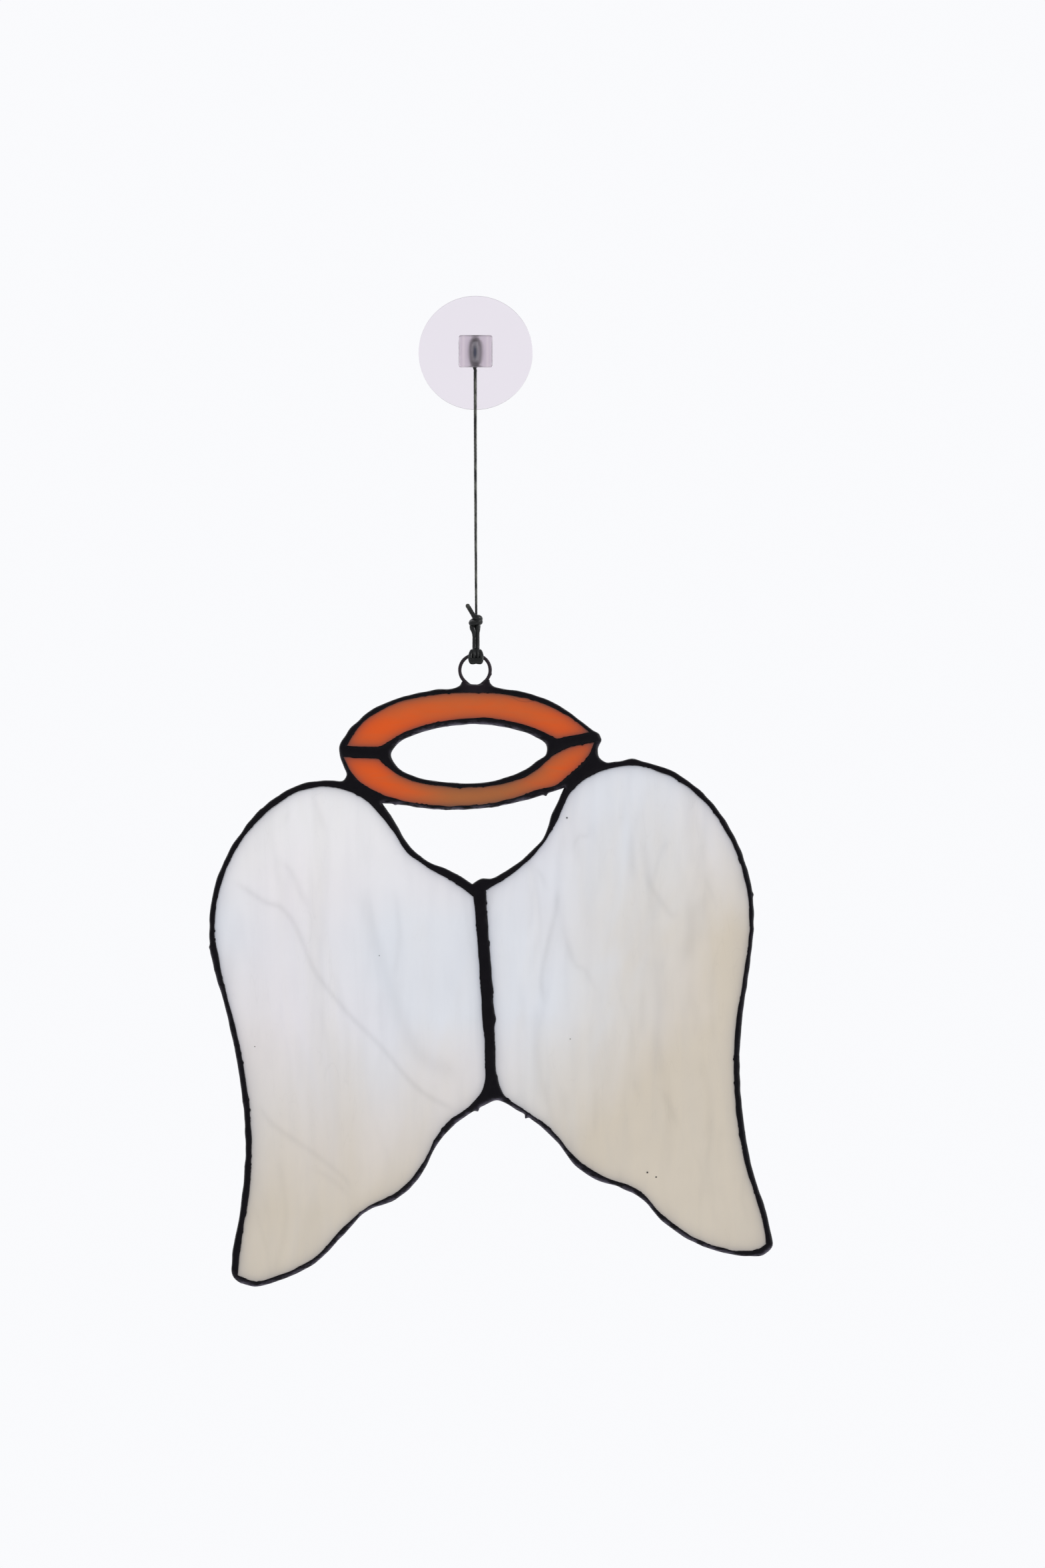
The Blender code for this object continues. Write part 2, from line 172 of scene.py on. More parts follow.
def across_path(path):
    """Two directions square to a path at each place, carried along it without twisting."""
    ahead = np.gradient(path, axis=0)
    ahead /= np.linalg.norm(ahead, axis=1)[:, None]
    side = np.cross(ahead[0], (0.0, 1.0, 0.0))
    if np.linalg.norm(side) < 0.1:
        side = np.cross(ahead[0], (1.0, 0.0, 0.0))
    sides = []
    for direction in ahead:
        side = side - direction * (side @ direction)
        side = side / np.linalg.norm(side)
        sides.append(side)
    sides = np.array(sides)
    return sides, np.cross(ahead, sides)


# %% Tube helpers
def twisted_tube(path, radius, stretch=None, sides=20, strands=3, lay=3.0, groove=0.08):
    """Places and faces of a twisted cord along a path.

    The profile's radius is the cord's radius, less the groove's share of it times one minus
    |cos(strands x angle / 2)| to the power 1.5. The angle is counted from a direction that turns
    once in each lay length. A stretch is how much the profile is widened along x, y and z.
    """
    along = lengths_along(path)
    side, up = across_path(path)
    angle = np.linspace(0, 2 * np.pi, sides, endpoint=False)[None, :]
    lobes = np.abs(np.cos(strands * (angle - 2 * np.pi * along[:, None] / lay) / 2))
    reach = np.broadcast_to(radius, len(path))[:, None] * (1 - groove * (1 - lobes) ** 1.5)
    offset = np.cos(angle)[..., None] * side[:, None] + np.sin(angle)[..., None] * up[:, None]
    offset = offset * reach[..., None]
    if stretch is not None:
        offset = offset * stretch[:, None]
    return capped(path[:, None] + offset, path[0], path[-1])


def round_end(path, radius, blunt=0.95):
    """The radius along a path whose last end is rounded off: over the last radius of its length
    it falls as a quarter circle, and a blunt end stops short of nothing."""
    along = lengths_along(path)
    near_end = np.clip(1 - (along[-1] - along) / radius, 0, 1)
    return radius * np.sqrt(1 - blunt * near_end**2)


def join(parts):
    """Places and faces of several shapes as one."""
    counts = np.cumsum([0] + [len(places) for places, faces in parts])
    places = np.concatenate([places for places, faces in parts])
    faces = [[i + count for i in face] for count, (_, more) in zip(counts, parts) for face in more]
    return places, faces


# %% [markdown]
# ## The line and its loop
# The photograph shows the whole line: it leaves the knot, runs up to the hanger and loops round
# the hanger's neck, where the clear head blurs it. The route is the frame's own, repeated here in
# metres, with the place where the loop opens moved in by half a millimetre. Then the end of the
# loop is laid back behind the line and waxed down. Under the panel's weight the line is pulled
# thin just above the knot and is fuller at the top, so its radius changes with the height.

# %% Line
CORD, CORD_STEP = 0.0009, 0.0002
LINE_ROUTE = [
    (0.00019, -0.00335, -0.0733), (0.00010, -0.00335, -0.0600), (0.00002, -0.00335, -0.0450),
    (-0.00004, -0.00335, -0.0300), (-0.00008, -0.00335, -0.0150), (-0.00010, -0.00335, -0.0064),
    (-0.00014, -0.00335, -0.0048), (-0.00116, -0.00335, -0.00264), (-0.00145, -0.00335, -0.0004),
    (-0.001334, -0.00335, 0.0020), (-0.000798, -0.00335, 0.0032), (0.0, -0.00335, 0.0036),
    (0.000798, -0.00335, 0.0032), (0.001334, -0.00335, 0.0020), (0.00145, -0.00335, -0.0004),
    (0.00116, -0.00335, -0.00264),
]
INTO_KNOT = (0.00020, -0.00335, -0.0748)
LAID_BACK = [(0.00034, -0.00312, -0.0037), (-0.00008, -0.00285, -0.0045), (-0.00010, -0.00275, -0.0057)]
LINE_HEIGHTS, LINE_RADII = [-75, -68, -30, -5], [0.35, 0.36, 0.42, 0.47]
THINNED_END, THINNED_TO = 2.2, 0.45

line_path = curve_through([INTO_KNOT] + LINE_ROUTE + LAID_BACK, CORD_STEP) / MM
line_length = lengths_along(line_path)[-1] * MM
left_to_go = np.linspace(line_length / MM, 0, len(line_path))
line_radius = np.interp(line_path[:, 2], LINE_HEIGHTS, LINE_RADII)
line_radius *= np.interp(left_to_go, [0, THINNED_END], [THINNED_TO, 1.0])
line = piece("cord_strand", *twisted_tube(line_path, line_radius), "cord_line", "cord")
print("line, metres:", round(line_length, 4))

# %% [markdown]
# ## The knot
# Both ends of the cord come up from the ring side by side and are tied together. One of them goes
# on upwards as the line. The other winds twice round it, thick and pulled tight, and ends in a
# short cut tail that leans left. The windings lean: they are high on the right, where both are
# pressed into one large lobe, and low on the left, where they make two small ones. A knot like
# this has no formula, so its route is a list of given places.

# %% Knot
WOUND, TAIL_END, SHANK = 0.80, 0.63, 0.55
WRAP_HEIGHTS, WRAP_RADII = [-79.8, -77.8, -74.6, -73.6], [SHANK, WOUND, WOUND, TAIL_END]
CORE_HEIGHTS, CORE_RADII = [-79, -77.8, -76.5, -74.5, -73.3], [SHANK, 0.74, 0.74, 0.45, 0.30]
LOBE_MIDDLE, LOBE_SWELL, LOBE_REACH = (1.0, -75.3), 0.26, 0.9
KNOT_STEP, CORE_STEP, KNOT_GROOVE = 0.12, 0.15, 0.04
WRAP_ROUTE = [
    (-0.35, -0.30, -83.7), (-0.35, 0.0, -82.0), (-0.35, 0.0, -79.8), (-0.48, -0.25, -78.5),
    (-0.88, -0.20, -77.35), (-0.75, 0.45, -76.8), (0.05, 0.85, -76.3), (0.88, 0.45, -75.85),
    (1.02, -0.20, -75.68), (0.55, -0.85, -75.80), (-0.30, -0.98, -76.1), (-1.05, -0.50, -76.2),
    (-1.05, 0.25, -75.85), (-0.30, 0.88, -75.3), (0.60, 0.72, -75.0), (1.02, 0.10, -74.92),
    (0.80, -0.62, -74.80), (0.25, -0.98, -74.6), (-0.35, -0.98, -74.25), (-0.85, -0.85, -73.55),
    (-1.35, -0.70, -72.7), (-1.95, -0.55, -71.7), (-2.50, -0.45, -70.8),
]
CORE_ROUTE = [
    (0.58, -0.30, -83.7), (0.60, 0.0, -82.0), (0.58, 0.0, -79.4), (0.60, -0.1, -77.8),
    (0.64, -0.1, -76.8), (0.30, 0.0, -75.6), (0.19, 0.0, -74.4), (0.19, 0.0, -73.0),
]


def bell(places, middle, width):
    """1 at the middle, falling as exp(-(distance / width) squared)."""
    return np.exp(-((places - middle) ** 2).sum(axis=1) / width**2)


wrap_path = curve_through(np.array(WRAP_ROUTE) + (0, PANEL_Y, 0), KNOT_STEP)
core_path = curve_through(np.array(CORE_ROUTE) + (0, PANEL_Y, 0), CORE_STEP)
wrap_radius = np.interp(wrap_path[:, 2], WRAP_HEIGHTS, WRAP_RADII)
wrap_radius += LOBE_SWELL * bell(wrap_path[:, [0, 2]], LOBE_MIDDLE, LOBE_REACH)
core_radius = np.interp(core_path[:, 2], CORE_HEIGHTS, CORE_RADII)
both_ends = join([
    twisted_tube(wrap_path, round_end(wrap_path, wrap_radius), groove=KNOT_GROOVE),
    twisted_tube(core_path, core_radius, groove=KNOT_GROOVE),
])
knot = piece("overhand_knot", *both_ends, "cord_knot", "cord")

# %% [markdown]
# ## The lark's head
# The folded cord goes through the ring and back through its own fold. Followed from one end, it
# comes down in front of the wire, turns under it and up behind, comes over the shoulder, crosses
# in front as a bar and does the same on the other side. Half of that path is listed and
# mirrored. The bar is pressed flat, which is a stretch of its profile along z, a little more
# towards its ends than in its middle.

# %% Hitch
HITCH_MIDDLE, HITCH_CORD = 0.12, 0.57
HITCH_END, HITCH_END_SHARE = 0.9, 0.8
BAR_FRONT, BAR_TOP = PANEL_Y - 1.15, -86.2
BAR_STRETCH, BAR_MORE, BAR_TURN = 0.60, 0.10, 2.6
HALF_HITCH = [
    (-0.48, -0.10, -83.0), (-0.49, -0.55, -83.8), (-0.52, -0.98, -84.7), (-0.54, -1.04, -85.6),
    (-0.58, -0.75, -86.5), (-0.68, 0.0, -87.0), (-0.86, 0.8, -86.5), (-0.98, 1.12, -85.4),
    (-0.96, 0.90, -84.5), (-1.02, 0.25, -83.95), (-1.28, -0.5, -84.25), (-1.52, -1.00, -85.0),
    (-1.64, -1.30, -86.0), (-1.42, -1.50, -86.75), (-0.80, -1.58, -86.88),
]
BAR_MIDDLE = (0.0, -1.60, -86.84)

half = np.array(HALF_HITCH)
whole = np.concatenate([half, [BAR_MIDDLE], half[::-1] * (-1, 1, 1)])
hitch_path = curve_through(whole + (HITCH_MIDDLE, PANEL_Y, 0), KNOT_STEP)
x, y, z = hitch_path.T
in_front = np.clip((BAR_FRONT - y) / 0.2, 0, 1)
low = np.clip((BAR_TOP - z) / 0.5, 0, 1)
flatten = np.ones((len(hitch_path), 3))
flatten[:, 2] += (BAR_STRETCH + BAR_MORE * np.cos(BAR_TURN * (x + 1.0))) * in_front * low
steps = np.arange(len(hitch_path))
from_end = np.minimum(steps, steps[::-1]) * KNOT_STEP
hitch_radius = HITCH_CORD * np.interp(from_end, [0, HITCH_END], [HITCH_END_SHARE, 1.0])
hitch_tube = twisted_tube(hitch_path, hitch_radius, stretch=flatten, groove=KNOT_GROOVE)
hitch = piece("larks_head_hitch", *hitch_tube, "cord_hitch", "cord")

# %% [markdown]
# ## Outlines
# A glass cutter works from a paper pattern, and so does this script. Each list has only the points
# that the shape needs, in millimetres from the centre of the hanging ring, and a cubic curve joins
# them: its direction at each point follows the neighbours on both sides, except at a corner,
# where it is free.

# %% Pattern
RING_Z = -89.3
CORNER = "corner"

PANEL_OUTLINE = [
    (-5.3, -4.75), (-4.7, -4.45), (-4.25, -4.1), (-4.03, -3.6), (-3.7, -3.15), (-3.0, -3.3),
    (-2.1, -3.8), (-1.2, -4.02), (0.0, -4.06), (1.0, -4.0), (1.9, -3.7), (2.8, -3.05), (3.5, -2.6),
    (3.93, -2.8), (4.02, -3.35), (4.25, -3.75), (4.6, -4.1), (5.1, -4.5), (6.4, -5.0), (9.8, -5.5),
    (16.6, -7.0), (22.4, -9.4), (27.6, -12.8), (32.8, -16.8), (34.7, -18.1), (35.0, -19.8),
    (34.3, -22.2), (34.6, -24.3), (36.6, -25.8), (39.5, -25.7), (44.5, -24.9), (47.2, -25.7),
    (54.0, -27.8), (61.3, -32.4), (67.7, -39.0), (72.8, -47.3), (76.6, -57.7), (77.9, -66.7),
    (77.8, -72.8), (76.6, -83.9), (74.8, -96.3), (73.9, -109.3), (74.6, -122.8), (78.0, -141.8),
    (81.2, -151.4), (82.3, -156.4), (83.0, -161.3), (80.9, -163.5), (76.2, -164.1), (69.8, -163.2),
    (60.5, -159.9), (52.3, -154.3), (45.9, -147.6), (40.2, -144.8), (34.0, -142.8), (28.4, -139.2),
    (22.9, -132.3), (17.6, -127.3), (11.6, -123.2), (6.0, -120.6), (1.7, -122.3), (-3.0, -125.2),
    (-7.9, -129.3), (-11.3, -133.9), (-15.4, -141.7), (-21.9, -148.0), (-30.5, -151.6),
    (-37.2, -158.5), (-45.1, -166.2), (-53.9, -170.5), (-62.9, -172.4), (-67.7, -169.9),
    (-68.1, -165.7), (-66.1, -153.5), (-64.3, -133.5), (-66.2, -112.8), (-70.2, -93.9),
    (-74.1, -79.3), (-74.5, -71.0), (-72.8, -59.9), (-67.0, -47.5), (-57.4, -36.7),
    (-47.9, -31.7), (-40.0, -30.9), (-36.9, -30.9), (-36.1, -29.5), (-36.8, -27.3),
    (-38.1, -23.7), (-38.3, -22.2), (-36.2, -18.0), (-29.9, -11.7), (-20.4, -7.5), (-11.0, -5.5),
]
HALO_HOLE = [
    (-23.6, -23.7), (-21.8, -20.7), (-17.1, -18.2), (-9.4, -16.1), (-0.7, -15.2), (9.8, -16.4),
    (16.6, -18.7), (19.9, -21.3), (19.8, -23.4), (16.9, -25.8), (13.9, -27.8), (8.4, -30.2),
    (0.2, -31.7), (-9.4, -31.3), (-17.1, -29.8), (-21.9, -27.1),
]
SHOULDER_GAP = [
    (-26.0, -37.4, CORNER), (-21.4, -37.7), (-14.3, -38.8), (-5.3, -39.2), (5.7, -38.3),
    (16.1, -35.9), (24.8, -33.0, CORNER), (21.4, -40.5), (18.9, -47.1), (14.8, -51.6), (9.1, -55.9),
    (4.4, -58.4), (1.6, -58.5), (-0.9, -59.9, CORNER), (-7.1, -56.2), (-13.7, -53.4),
    (-18.6, -49.1), (-22.7, -42.3),
]
LEFT_WING = [
    (-0.5, -63.6, CORNER), (0.7, -78.0), (1.8, -95.2), (2.7, -110.4), (2.4, -116.3),
    (-1.4, -122.0), (-7.0, -125.9), (-11.0, -130.9), (-15.0, -138.6), (-21.6, -145.9),
    (-30.2, -150.4), (-37.5, -156.6), (-44.0, -163.7), (-54.3, -169.2), (-62.2, -171.0),
    (-66.4, -169.4, CORNER), (-65.6, -161.4), (-63.0, -144.2), (-62.7, -128.5), (-65.6, -106.9),
    (-71.4, -83.0), (-73.0, -72.6), (-71.3, -60.5), (-64.8, -46.9), (-56.1, -38.1), (-49.3, -34.0),
    (-41.6, -32.8), (-33.2, -35.0), (-26.6, -40.7), (-23.1, -45.3), (-19.1, -51.1), (-13.7, -55.2),
    (-7.1, -58.9),
]
RIGHT_WING = [
    (2.9, -61.8, CORNER), (9.1, -58.0), (17.4, -50.7), (22.6, -42.8), (27.3, -33.5), (35.0, -28.5),
    (45.0, -26.9), (53.1, -29.2), (62.6, -35.5), (70.7, -46.4), (75.9, -61.3), (76.7, -71.0),
    (74.9, -86.4), (72.8, -99.7), (72.4, -116.8), (75.5, -138.6), (79.4, -151.1), (80.4, -154.9),
    (81.2, -160.7, CORNER), (79.1, -162.1), (73.2, -162.5), (62.7, -159.6), (52.7, -152.9),
    (45.2, -145.4), (35.8, -141.8), (28.7, -137.2), (20.7, -128.2), (13.6, -123.1), (8.0, -119.0),
    (6.0, -113.5), (5.5, -105.2), (5.0, -91.3), (3.8, -76.1),
]
HALO_UPPER = [
    (-36.2, -21.4, CORNER), (-31.5, -14.8), (-22.4, -9.4), (-13.0, -7.2), (-2.0, -6.4), (8.4, -6.9),
    (17.7, -9.0), (26.2, -13.1), (31.9, -17.5, CORNER), (22.9, -19.3, CORNER), (13.9, -15.5),
    (4.3, -13.6), (-7.5, -14.2), (-18.4, -16.9), (-26.6, -21.6, CORNER),
]
HALO_LOWER = [
    (-37.0, -24.4, CORNER), (-27.1, -25.0, CORNER), (-20.9, -29.8), (-10.2, -32.5), (1.2, -32.8),
    (9.8, -31.4), (16.6, -28.5), (21.7, -24.0), (27.0, -21.6), (33.3, -20.3, CORNER),
    (31.3, -24.4), (25.4, -30.0, CORNER), (24.0, -31.4), (16.6, -33.9), (8.4, -36.6),
    (-2.5, -38.1), (-14.3, -37.7), (-25.8, -35.0), (-33.2, -30.6),
]
print("points in the panel's outline:", len(PANEL_OUTLINE))


# %% Loop helpers
def smooth_loop(outline, spacing):
    """Places along the closed curve through an outline: on each stretch a cubic blend of the
    two end points and of the directions there, cut into even steps."""
    points = np.array([place[:2] for place in outline], float)
    corner = [len(place) > 2 for place in outline]
    ahead = np.roll(points, -1, axis=0) - points
    reach = np.linalg.norm(ahead, axis=1)
    ahead /= reach[:, None]
    behind = np.roll(ahead, 1, axis=0)
    before = np.roll(reach, 1)
    tangent = (behind * reach[:, None] + ahead * before[:, None]) / (reach + before)[:, None]
    made = []
    for i, start in enumerate(points):
        j = (i + 1) % len(points)
        first = ahead[i] if corner[i] else tangent[i]
        last = ahead[i] if corner[j] else tangent[j]
        if corner[i] and not corner[j]:
            first = 1.5 * ahead[i] - 0.5 * last
        if corner[j] and not corner[i]:
            last = 1.5 * ahead[i] - 0.5 * first
        count = max(1, round(reach[i] / spacing))
        t = (np.arange(count) / count)[:, None]
        made.append(
            (2 * t**3 - 3 * t**2 + 1) * start
            + (t**3 - 2 * t**2 + t) * reach[i] * first
            + (3 * t**2 - 2 * t**3) * points[j]
            + (t**3 - t**2) * reach[i] * last
        )
    return np.concatenate(made)


def normals(loop):
    """The direction away from a clockwise loop at each place, halfway between its two edges'."""
    ahead = np.roll(loop, -1, axis=0) - loop
    ahead /= np.linalg.norm(ahead, axis=1)[:, None]
    outwards = np.stack([-ahead[:, 1], ahead[:, 0]], axis=1)
    both = outwards + np.roll(outwards, 1, axis=0)
    return both / np.linalg.norm(both, axis=1)[:, None]


def grown(loop, distance):
    """The clockwise loop moved outwards along its normals by a distance, or by one for each place."""
    return loop + normals(loop) * np.broadcast_to(distance, len(loop))[:, None]


# %% [markdown]
# ## Uneven edges
# Hand-cut foil and brushed solder never follow a pattern exactly. Three things are added to the
# clean loops: a slow wave from the cutter's hand, a fine ragged tooth that comes and goes, and
# drips of solder at the places where the photograph shows them. A wave round a closed loop has to
# meet itself, so each of its parts makes a whole number of turns.

# %% Edge helpers
EDGE_STEP = 0.25
WAVE_LENGTHS, PATCH_LENGTHS, TOOTH_LENGTHS = (4.0, 14.0), (6.0, 20.0), (1.0, 5.0)
TOOTH_PARTS = 40


def round_wave(loop, seed, lengths, parts=14):
    """An uneven wave round a loop, about -1 to 1: a sum of cosines of whole turns and random
    phases, whose lengths in millimetres are drawn between the two given."""
    draw = np.random.default_rng(seed)
    around = np.linspace(0, 2 * np.pi, len(loop), endpoint=False)
    total = len(loop) * EDGE_STEP
    turns = np.round(total / draw.uniform(*lengths, parts))
    phase = draw.uniform(0, 2 * np.pi, parts)
    return np.cos(around[:, None] * turns + phase).sum(axis=1) / math.sqrt(parts / 2)


def worked_edge(outline, seed, wave=0.05, tooth=0.06, drips=(), rough=(), into_opening=True):
    """The curve through an outline with its wave, its tooth, more of it at the rough places, and
    its drips, each a bell, all towards the opening or, on the panel's outer edge, away from it."""
    loop = smooth_loop(outline, EDGE_STEP)
    shift = wave * round_wave(loop, seed, WAVE_LENGTHS)
    patches = 0.25 + np.clip(round_wave(loop, seed + 1, PATCH_LENGTHS), 0, 1.2)
    for x, z, reach, amount in rough:
        patches += amount * bell(loop, (x, z), reach)
    bumps = round_wave(loop, seed + 2, TOOTH_LENGTHS, TOOTH_PARTS)
    shift += tooth * patches * np.maximum(bumps, -0.4)
    for x, z, height, width in drips:
        shift += height * bell(loop, (x, z), width)
    return grown(loop, -shift if into_opening else shift)


# %% [markdown]
# ## Filling an outline with triangles
# A surface over an odd shape needs an even net of triangles that keeps to the shape's edges.
# Delaunay's rule gives one: it joins given places so that no triangle is thinner than it has to
# be, and it can be told which edges to keep. Heights are then worked out for all places at once.

# %% Distance helpers
BLOCK = 400


def in_blocks(points, answer):
    """The answers for an array of points, worked out a few hundred at a time to save memory."""
    blocks = np.array_split(points, len(points) // BLOCK + 1)
    return np.concatenate([answer(block) for block in blocks])


def inside(points, loops):
    """Whether each point is inside an odd number of loops: a ray to the right crosses an odd
    number of their edges."""
    start = np.concatenate(loops)
    end = np.concatenate([np.roll(loop, -1, axis=0) for loop in loops])
    slope = (end[:, 0] - start[:, 0]) / (end[:, 1] - start[:, 1] + 1e-12)

    def crosses_odd(block):
        x, level = block[:, :1], block[:, 1:]
        crosses = (start[:, 1] > level) != (end[:, 1] > level)
        where = start[:, 0] + (level - start[:, 1]) * slope
        return (crosses & (where > x)).sum(axis=1) % 2 == 1

    return in_blocks(points, crosses_odd)


def nearest_place(points, here):
    """The number of the place in an array that is nearest to each point."""
    square = (here**2).sum(axis=1)
    return in_blocks(points, lambda block: (square - 2 * block @ here.T).argmin(axis=1))


def distance_to(points, loops):
    """How far each point is from the nearest loop, measured to the two edges that meet at the
    loop's nearest place."""
    here = np.concatenate(loops)
    nearest = nearest_place(points, here)
    out = points - here[nearest]
    best = np.full(len(points), np.inf)
    for way in (-1, 1):
        beside = np.concatenate([np.roll(loop, way, axis=0) for loop in loops])
        edge = (beside - here)[nearest]
        share = np.clip((out * edge).sum(axis=1) / (edge**2).sum(axis=1), 0, 1)
        best = np.minimum(best, np.linalg.norm(out - share[:, None] * edge, axis=1))
    return best


# %% Net helpers
def hex_places(loops, step, seed):
    """An even field of places, in offset rows, over the box of the first loop, a little shaken."""
    low = loops[0].min(axis=0)
    high = loops[0].max(axis=0)
    rise = step * math.sqrt(3) / 2
    x, z = np.meshgrid(np.arange(low[0], high[0], step), np.arange(low[1], high[1], rise))
    x[1::2] += step / 2
    field = np.stack([x.ravel(), z.ravel()], axis=1)
    return field + np.random.default_rng(seed).uniform(-0.12, 0.12, field.shape) * step


def triangulate(loops, field):
    """Places and triangles, anticlockwise from the front, of what the loops hold between them.
    A triangle can lie outside only if all its corners are on loops, so only those are tested."""
    rim = np.concatenate(loops)
    starts = np.cumsum([0] + [len(loop) for loop in loops])
    edges = [
        (start + i, start + (i + 1) % len(loop))
        for start, loop in zip(starts.tolist(), loops)
        for i in range(len(loop))
    ]
    places = np.concatenate([rim, field])
    made = delaunay_2d_cdt([Vector(place) for place in places], edges, [], 0, 1e-7, False)
    if len(made[0]) != len(places):
        print("the outlines cross or touch:", len(made[0]) - len(places), "more places")
        places = np.array([tuple(place) for place in made[0]])
    triangles = np.array(made[2])
    unsure = (triangles < len(rim)).all(axis=1)
    keep = ~unsure
    keep[unsure] = inside(places[triangles[unsure]].mean(axis=1), loops)
    triangles = triangles[keep]
    a, b, c = (places[triangles[:, i]] for i in range(3))
    turned = (b - a)[:, 0] * (c - a)[:, 1] - (b - a)[:, 1] * (c - a)[:, 0] < 0
    triangles[turned] = triangles[turned][:, ::-1]
    return places, triangles


def even_net(loops, rows, share, step, clear, seed):
    """A net with even rows beside its edges: each row is a loop moved by a reach, less the places
    nearer to any edge than a share of that reach. An even field, clear of the edges, fills it."""
    kept = []
    for loop, reach in rows:
        row = grown(loop, reach)
        apart = distance_to(row, loops) > share * abs(reach)
        kept.append(row[apart & inside(row, loops)])
    field = hex_places(loops, step, seed)
    field = field[inside(field, loops)]
    kept.append(field[distance_to(field, loops) > clear])
    return triangulate(loops, np.concatenate(kept))


def ripples(places, seed, lengths, parts=24):
    """A smooth uneven field over flat places, about -1 to 1: a sum of plane waves whose
    directions, lengths and phases are drawn once."""
    draw = np.random.default_rng(seed)
    heading = draw.uniform(0, 2 * np.pi, parts)
    pace = 2 * np.pi / draw.uniform(*lengths, parts)
    phase = draw.uniform(0, 2 * np.pi, parts)
    waves = places @ (np.stack([np.cos(heading), np.sin(heading)]) * pace) + phase
    return np.sin(waves).sum(axis=1) / math.sqrt(parts / 2)


def stand(places, depth):
    """Flat places stood up in the panel's plane, each moved by its depth towards the back."""
    depth = np.broadcast_to(depth, len(places))
    return np.stack([places[:, 0], PANEL_Y + depth, RING_Z + places[:, 1]], axis=1)


# %% [markdown]
# ## Solder
# Molten solder on foil takes the shape that its surface tension gives it: it is pinned to the
# edges of the foil, stands highest where the seam is widest, and runs together at the joints. A
# shallow skin under even pressure obeys Poisson's equation, so that equation is solved on the net
# of triangles, with the height held at nothing along every edge. Its square root, which is a half
# circle across a straight seam, gives the round bead that a hot iron leaves.


# %% Skin of the solder
def skin_height(places, triangles, held, load=2.0, soak=0.0):
    """Solves minus the Laplacian of h, plus soak times h, equal to load, by conjugate gradients.

    The stiffness of an edge is half the sum of the cotangents of the angles that face it, and a
    place's share is a third of the area of its triangles. With a load of 2 and no soak the
    answer across a straight strip is the product of the distances to both edges. With both at
    one over a length squared, it rises from 0 at the edge to 1 within a few such lengths.
    """
    count = len(places)
    corner = [places[triangles[:, i]] for i in range(3)]
    double = np.maximum(np.abs(np.cross(corner[1] - corner[0], corner[2] - corner[0])), 1e-6)
    first, second, stiffness = [], [], []
    for i in range(3):
        j, k = (i + 1) % 3, (i + 2) % 3
        facing = ((corner[j] - corner[i]) * (corner[k] - corner[i])).sum(axis=1)
        first.append(triangles[:, j])
        second.append(triangles[:, k])
        stiffness.append(np.maximum(facing / (2 * double), 1e-3))
    first, second, stiffness = map(np.concatenate, (first, second, stiffness))
    area = np.bincount(triangles.ravel(), np.repeat(double / 6, 3), count)
    diagonal = np.bincount(first, stiffness, count) + np.bincount(second, stiffness, count)
    diagonal = np.maximum(diagonal + soak * area, 1e-6)
    free = ~held
    height = np.zeros(count)
    left = load * area * free
    scaled = left / diagonal
    direction = scaled.copy()
    for _ in range(600):
        flow = stiffness * (direction[first] - direction[second])
        pull = np.bincount(first, flow, count) - np.bincount(second, flow, count)
        pull = (pull + soak * area * direction) * free
        share = (left @ scaled) / (direction @ pull)
        height += share * direction
        new_left = left - share * pull
        if np.abs(new_left).max() < 1e-7:
            break
        new_scaled = new_left / diagonal
        direction = new_scaled + direction * (new_left @ new_scaled) / (left @ scaled)
        left, scaled = new_left, new_scaled
    return height


# %% [markdown]
# ## The solder seams as one piece
# The front and the back are two nets over the same outlines. Along the panel's outer edge and the
# two openings they curve round and meet, where foil wraps the edge of the glass. Along each pane
# they end in a thin lip over the glass, with a channel behind it that holds the pane's edge.

# %% Edges of the seams
LEFT_ROUGH = [(-9.0, -128.0, 6.0, 1.2)]
RIGHT_ROUGH = [(2.7, -65.4, 4.0, 1.2), (14.6, -123.8, 7.0, 1.2)]
LOWER_ROUGH = [(27.7, -28.0, 5.0, 2.2)]
PANEL_DRIPS = [
    (0.4, -123.0, 0.7, 0.6), (14.3, -125.0, 0.9, 0.5), (-74.5, -77.7, 0.3, 0.6),
    (77.5, -62.9, 0.3, 0.6), (35.0, -19.6, 0.25, 0.7), (-59.9, -39.5, 0.3, 0.5),
]
GAP_DRIPS = [(19.6, -34.8, 0.6, 0.5), (-22.5, -37.6, 0.25, 0.5)]
LEFT_DRIPS = [(-62.3, -44.3, 0.3, 0.4), (-33.0, -35.0, 0.2, 0.6)]
RIGHT_DRIPS = [(5.5, -98.0, 0.5, 1.4), (28.0, -33.6, 0.3, 0.8)]
UPPER_DRIPS = [
    (-26.8, -21.3, 0.3, 0.35), (-7.4, -6.6, 0.3, 0.4), (1.0, -6.5, 0.2, 0.3), (3.4, -6.6, 0.25, 0.3),
]
LOWER_DRIPS = [(-4.3, -32.8, 0.3, 0.4), (0.3, -37.8, 0.3, 0.35), (27.8, -27.7, 0.25, 0.5)]

